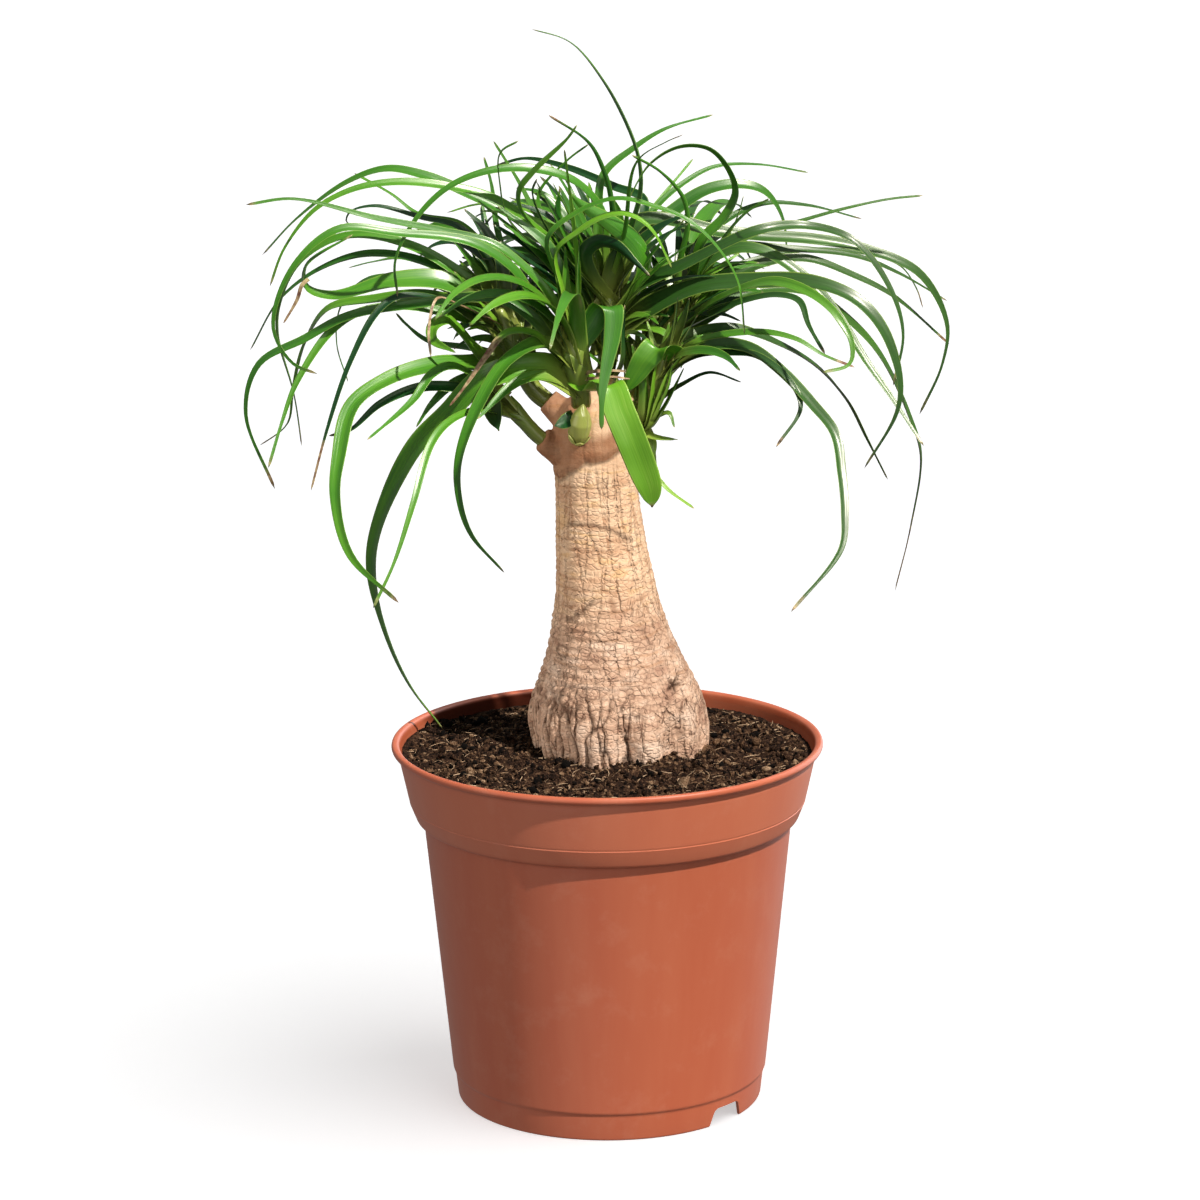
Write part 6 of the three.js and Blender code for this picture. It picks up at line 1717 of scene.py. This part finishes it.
@dataclass
class Bud:
    """The closed leaf bud on the front of the trunk's head: a core in clasping scales, small at the base."""

    around: int = 24

    def build(self, material: bpy.types.Material) -> bpy.types.Object:
        """Builds the bud.

        Args:
            material: The leaf finish in the bud's paler greens.

        Returns:
            The bud's object.
        """
        bm = new_mesh()
        spine = curve_places(np.array([place for place, _ in BUD_STEM], float), 40)
        spine[:, 2] = np.interp(np.linspace(0, 1, 41), (0, 1), (270.6, 286.4))
        radii = np.interp(np.linspace(0, 4, 41), [0, .4, 1, 2, 3, 3.6, 4], [2, 3.2, 4, 4.4, 3.2, 1.5, .2])
        rings = capped(tube_rings(spine, radii * .94, self.around)[:-1], spine[0], spine[-1])
        skin(bm, rings, {LOOK: channels(rings.shape[:2], 0, 0, .3)})
        whole = np.arange(1, 41)
        share = np.linspace(0, 1, 40)
        for heading, spread, lift, tint in ((2.6, 1.75, .1, -.1), (5.2, 1.5, .32, .25), (.7, .9, .45, .6)):
            wrap_scale(bm, spine, radii * .97, whole, heading, spread * (1 - share ** 3) + .03,
                       lift * (1 - share), tint, .55 * (1 - share))
        for i in range(6):
            size = 8 + 2 * (i % 3)
            picks = np.arange(0, size)
            grown = np.linspace(0, 1, size)
            wrap_scale(bm, spine, radii + .35, picks, i * 1.1, .75 * (1 - grown ** 2) + .04,
                       .5 * grown, .9, np.full(size, .1), dry=.8)
        return finish_piece(bm, "bud_scales", material, "bud")


# ---- Studio ----------------------------------------------------------------------------------------


@dataclass
class Studio:
    """The camera at the photograph's angle, soft lamps and a plain pale floor."""

    distance: float = 1704.8
    height: float = 618.2
    pitch: float = 13.662
    roll: float = -.41
    yaw: float = .083
    lens: float = 133.12
    key_azimuth: float = 50

    def camera(self) -> None:
        """Makes the camera and gives it to the scene."""
        data = bpy.data.cameras.new("camera")
        data.lens = self.lens
        data.clip_start, data.clip_end = .05, 60
        camera = bpy.data.objects.new("camera", data)
        camera.location = (0, -self.distance * MM, self.height * MM)
        turn = (Matrix.Rotation(math.radians(self.yaw), 3, "Z")
                @ Matrix.Rotation(math.radians(90 - self.pitch), 3, "X")
                @ Matrix.Rotation(math.radians(self.roll), 3, "Z"))
        camera.rotation_euler = turn.to_euler()
        bpy.context.scene.collection.objects.link(camera)
        bpy.context.scene.camera = camera

    def _floor(self) -> bpy.types.Object:
        """Lays the pale floor."""
        made, tree, output = new_material("matt_white_paper_sweep")
        coord = add_node(tree, "TexCoord").outputs["Object"]
        tooth = add_node(tree, "TexNoise", {"Vector": coord, "Scale": 900})
        bump = add_node(tree, "Bump", {"Height": tooth, "Strength": .02, "Distance": .0002})
        add_node(tree, "BsdfPrincipled", {
            "Base Color": linear("#F6F6F6"), "Roughness": .9, "Normal": bump, "Emission Color": (1, 1, 1, 1),
            "Emission Strength": .52, "Specular IOR Level": .1}, feeds=output)
        bm = bmesh.new()
        bmesh.ops.create_grid(bm, x_segments=4, y_segments=4, size=14)
        floor = to_object(bm, "floor")
        floor.data.materials.append(made)
        floor.visible_diffuse = False
        floor.visible_glossy = False
        return floor

    @staticmethod
    def _hang(name: str, place: tuple[float, float], energy: float, soft: float, colour: str,
              lit: list[bpy.types.Object], blocking: list[bpy.types.Object]) -> None:
        """Hangs a sun that lights only some pieces, and that only some of them keep off.

        Args:
            name: The lamp's name.
            place: Degrees to the right of the camera, and above the horizon.
            energy: Its strength.
            soft: How wide it is, in degrees.
            colour: Its colour.
            lit: The pieces that it lights.
            blocking: The pieces that cast its shadows.
        """
        data = bpy.data.lights.new(name, "SUN")
        data.energy = energy
        data.color = linear(colour)[:3]
        data.angle = math.radians(soft)
        lamp = bpy.data.objects.new(name, data)
        azimuth, rise = (math.radians(angle) for angle in place)
        way = Vector((math.sin(azimuth) * math.cos(rise), -math.cos(azimuth) * math.cos(rise),
                      math.sin(rise)))
        lamp.location = Vector((0, 0, .22)) + way * 2.2
        lamp.rotation_euler = way.to_track_quat("Z", "Y").to_euler()
        bpy.context.scene.collection.objects.link(lamp)
        for kind, pieces in (("receiver", lit), ("blocker", blocking)):
            group = bpy.data.collections.new(f"{name}_{kind}")
            for piece in pieces:
                group.objects.link(piece)
            setattr(lamp.light_linking, kind + "_collection", group)

    def _sky(self) -> None:
        """Lights the scene evenly from above and less from below."""
        world = bpy.data.worlds.new("soft_box")
        world.use_nodes = True
        tree = world.node_tree
        tree.nodes.clear()
        way = add_node(tree, "SeparateXYZ", {0: add_node(tree, "TexCoord").outputs["Generated"]})
        lift = add_node(tree, "Math", {0: way.outputs[2], 1: .5, 2: .5}, operation="MULTIPLY_ADD")
        colour = add_node(tree, "ValToRGB", {"Fac": lift},
                          ((.3, "#4A4A4A"), (.5, "#929292"), (.62, "#9C9C9C"), (1, "#7C7C7C")))
        path = add_node(tree, "LightPath").outputs
        # Reflections see a darker room, and the camera a white one.
        for ray, grey in (("Is Glossy Ray", .3), ("Is Camera Ray", 1)):
            colour = add_node(tree, "Mix", {0: path[ray], 6: colour, 7: (grey, grey, grey, 1)},
                              data_type="RGBA")
        add_node(tree, "Background", {"Color": colour}, feeds=add_node(tree, "OutputWorld"))
        bpy.context.scene.world = world

    def build(self, pieces: list[bpy.types.Object]) -> None:
        """Sets up the floor, the sky and the lamps.

        Args:
            pieces: The plant's and the pot's pieces.
        """
        floor = self._floor()
        self._sky()
        pot, soil, body, leaves = ([piece for piece in pieces if piece.name.startswith(names)] for names in (
            "pot", "soil", ("trunk", "bud"), "shoot"))
        side, solid = self.key_azimuth, body + pot + soil
        warm, cool = "#FFF6EA", "#F4F8FF"
        # The key stands a little lower for the trunk and the pot, whose shading shows a lower sun.
        self._hang("key_on_leaves", (side, 53), 6.9, 1.6, warm, leaves, pieces)
        self._hang("leaf_fill", (20, 16), 1, 50, warm, leaves, pieces)
        self._hang("key_on_pot", (side - 5, 50), 5.2, 1.6, warm, pot, pieces)
        self._hang("key_on_soil", (side, 54), 6.4, 1.6, warm, soil, pieces)
        self._hang("key_on_trunk", (side, 36), 4.6, 1.6, warm, body, solid)
        self._hang("pot_fill", (-24, 8), .9, 80, cool, pot, pot)
        self._hang("pot_edge", (138, 12), 2, 60, cool, pot, pot)
        self._hang("trunk_fill", (-58, 14), 1.55, 50, "#FFF2E2", body, solid)
        self._hang("wash", (62, 56), 1.5, 62, "#FFFFFF", [floor], pieces)
        view = bpy.context.scene.view_settings
        view.view_transform = "Standard"
        view.look = "None"


def main() -> None:
    """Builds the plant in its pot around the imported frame."""
    logging.basicConfig(level=logging.INFO, format="%(name)s %(message)s")
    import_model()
    studio = Studio()
    studio.camera()
    plastic = MouldedPolypropylene().build()
    leaf = WaxyLeaf().build()
    bud = WaxyLeaf("waxy_bud_scale", dark="#8C9A48", body="#A9B85A", bright="#C4D070", pale="#DCDD96",
                   base="#C0BE6C").build()
    pieces = [Pot().build(plastic), Soil().build(MoistSoil().build()), Trunk().build(CorkyBark().build())]
    growth = Growth()
    leaves = growth.leaves() + growth.details() + growth.undergrowth()
    pieces += [Foliage(name, seed=11 + i).build(leaves, leaf) for i, name in enumerate(SHOOTS)]
    pieces.append(Bud().build(bud))
    studio.build(pieces)


if __name__ == "__main__":
    main()
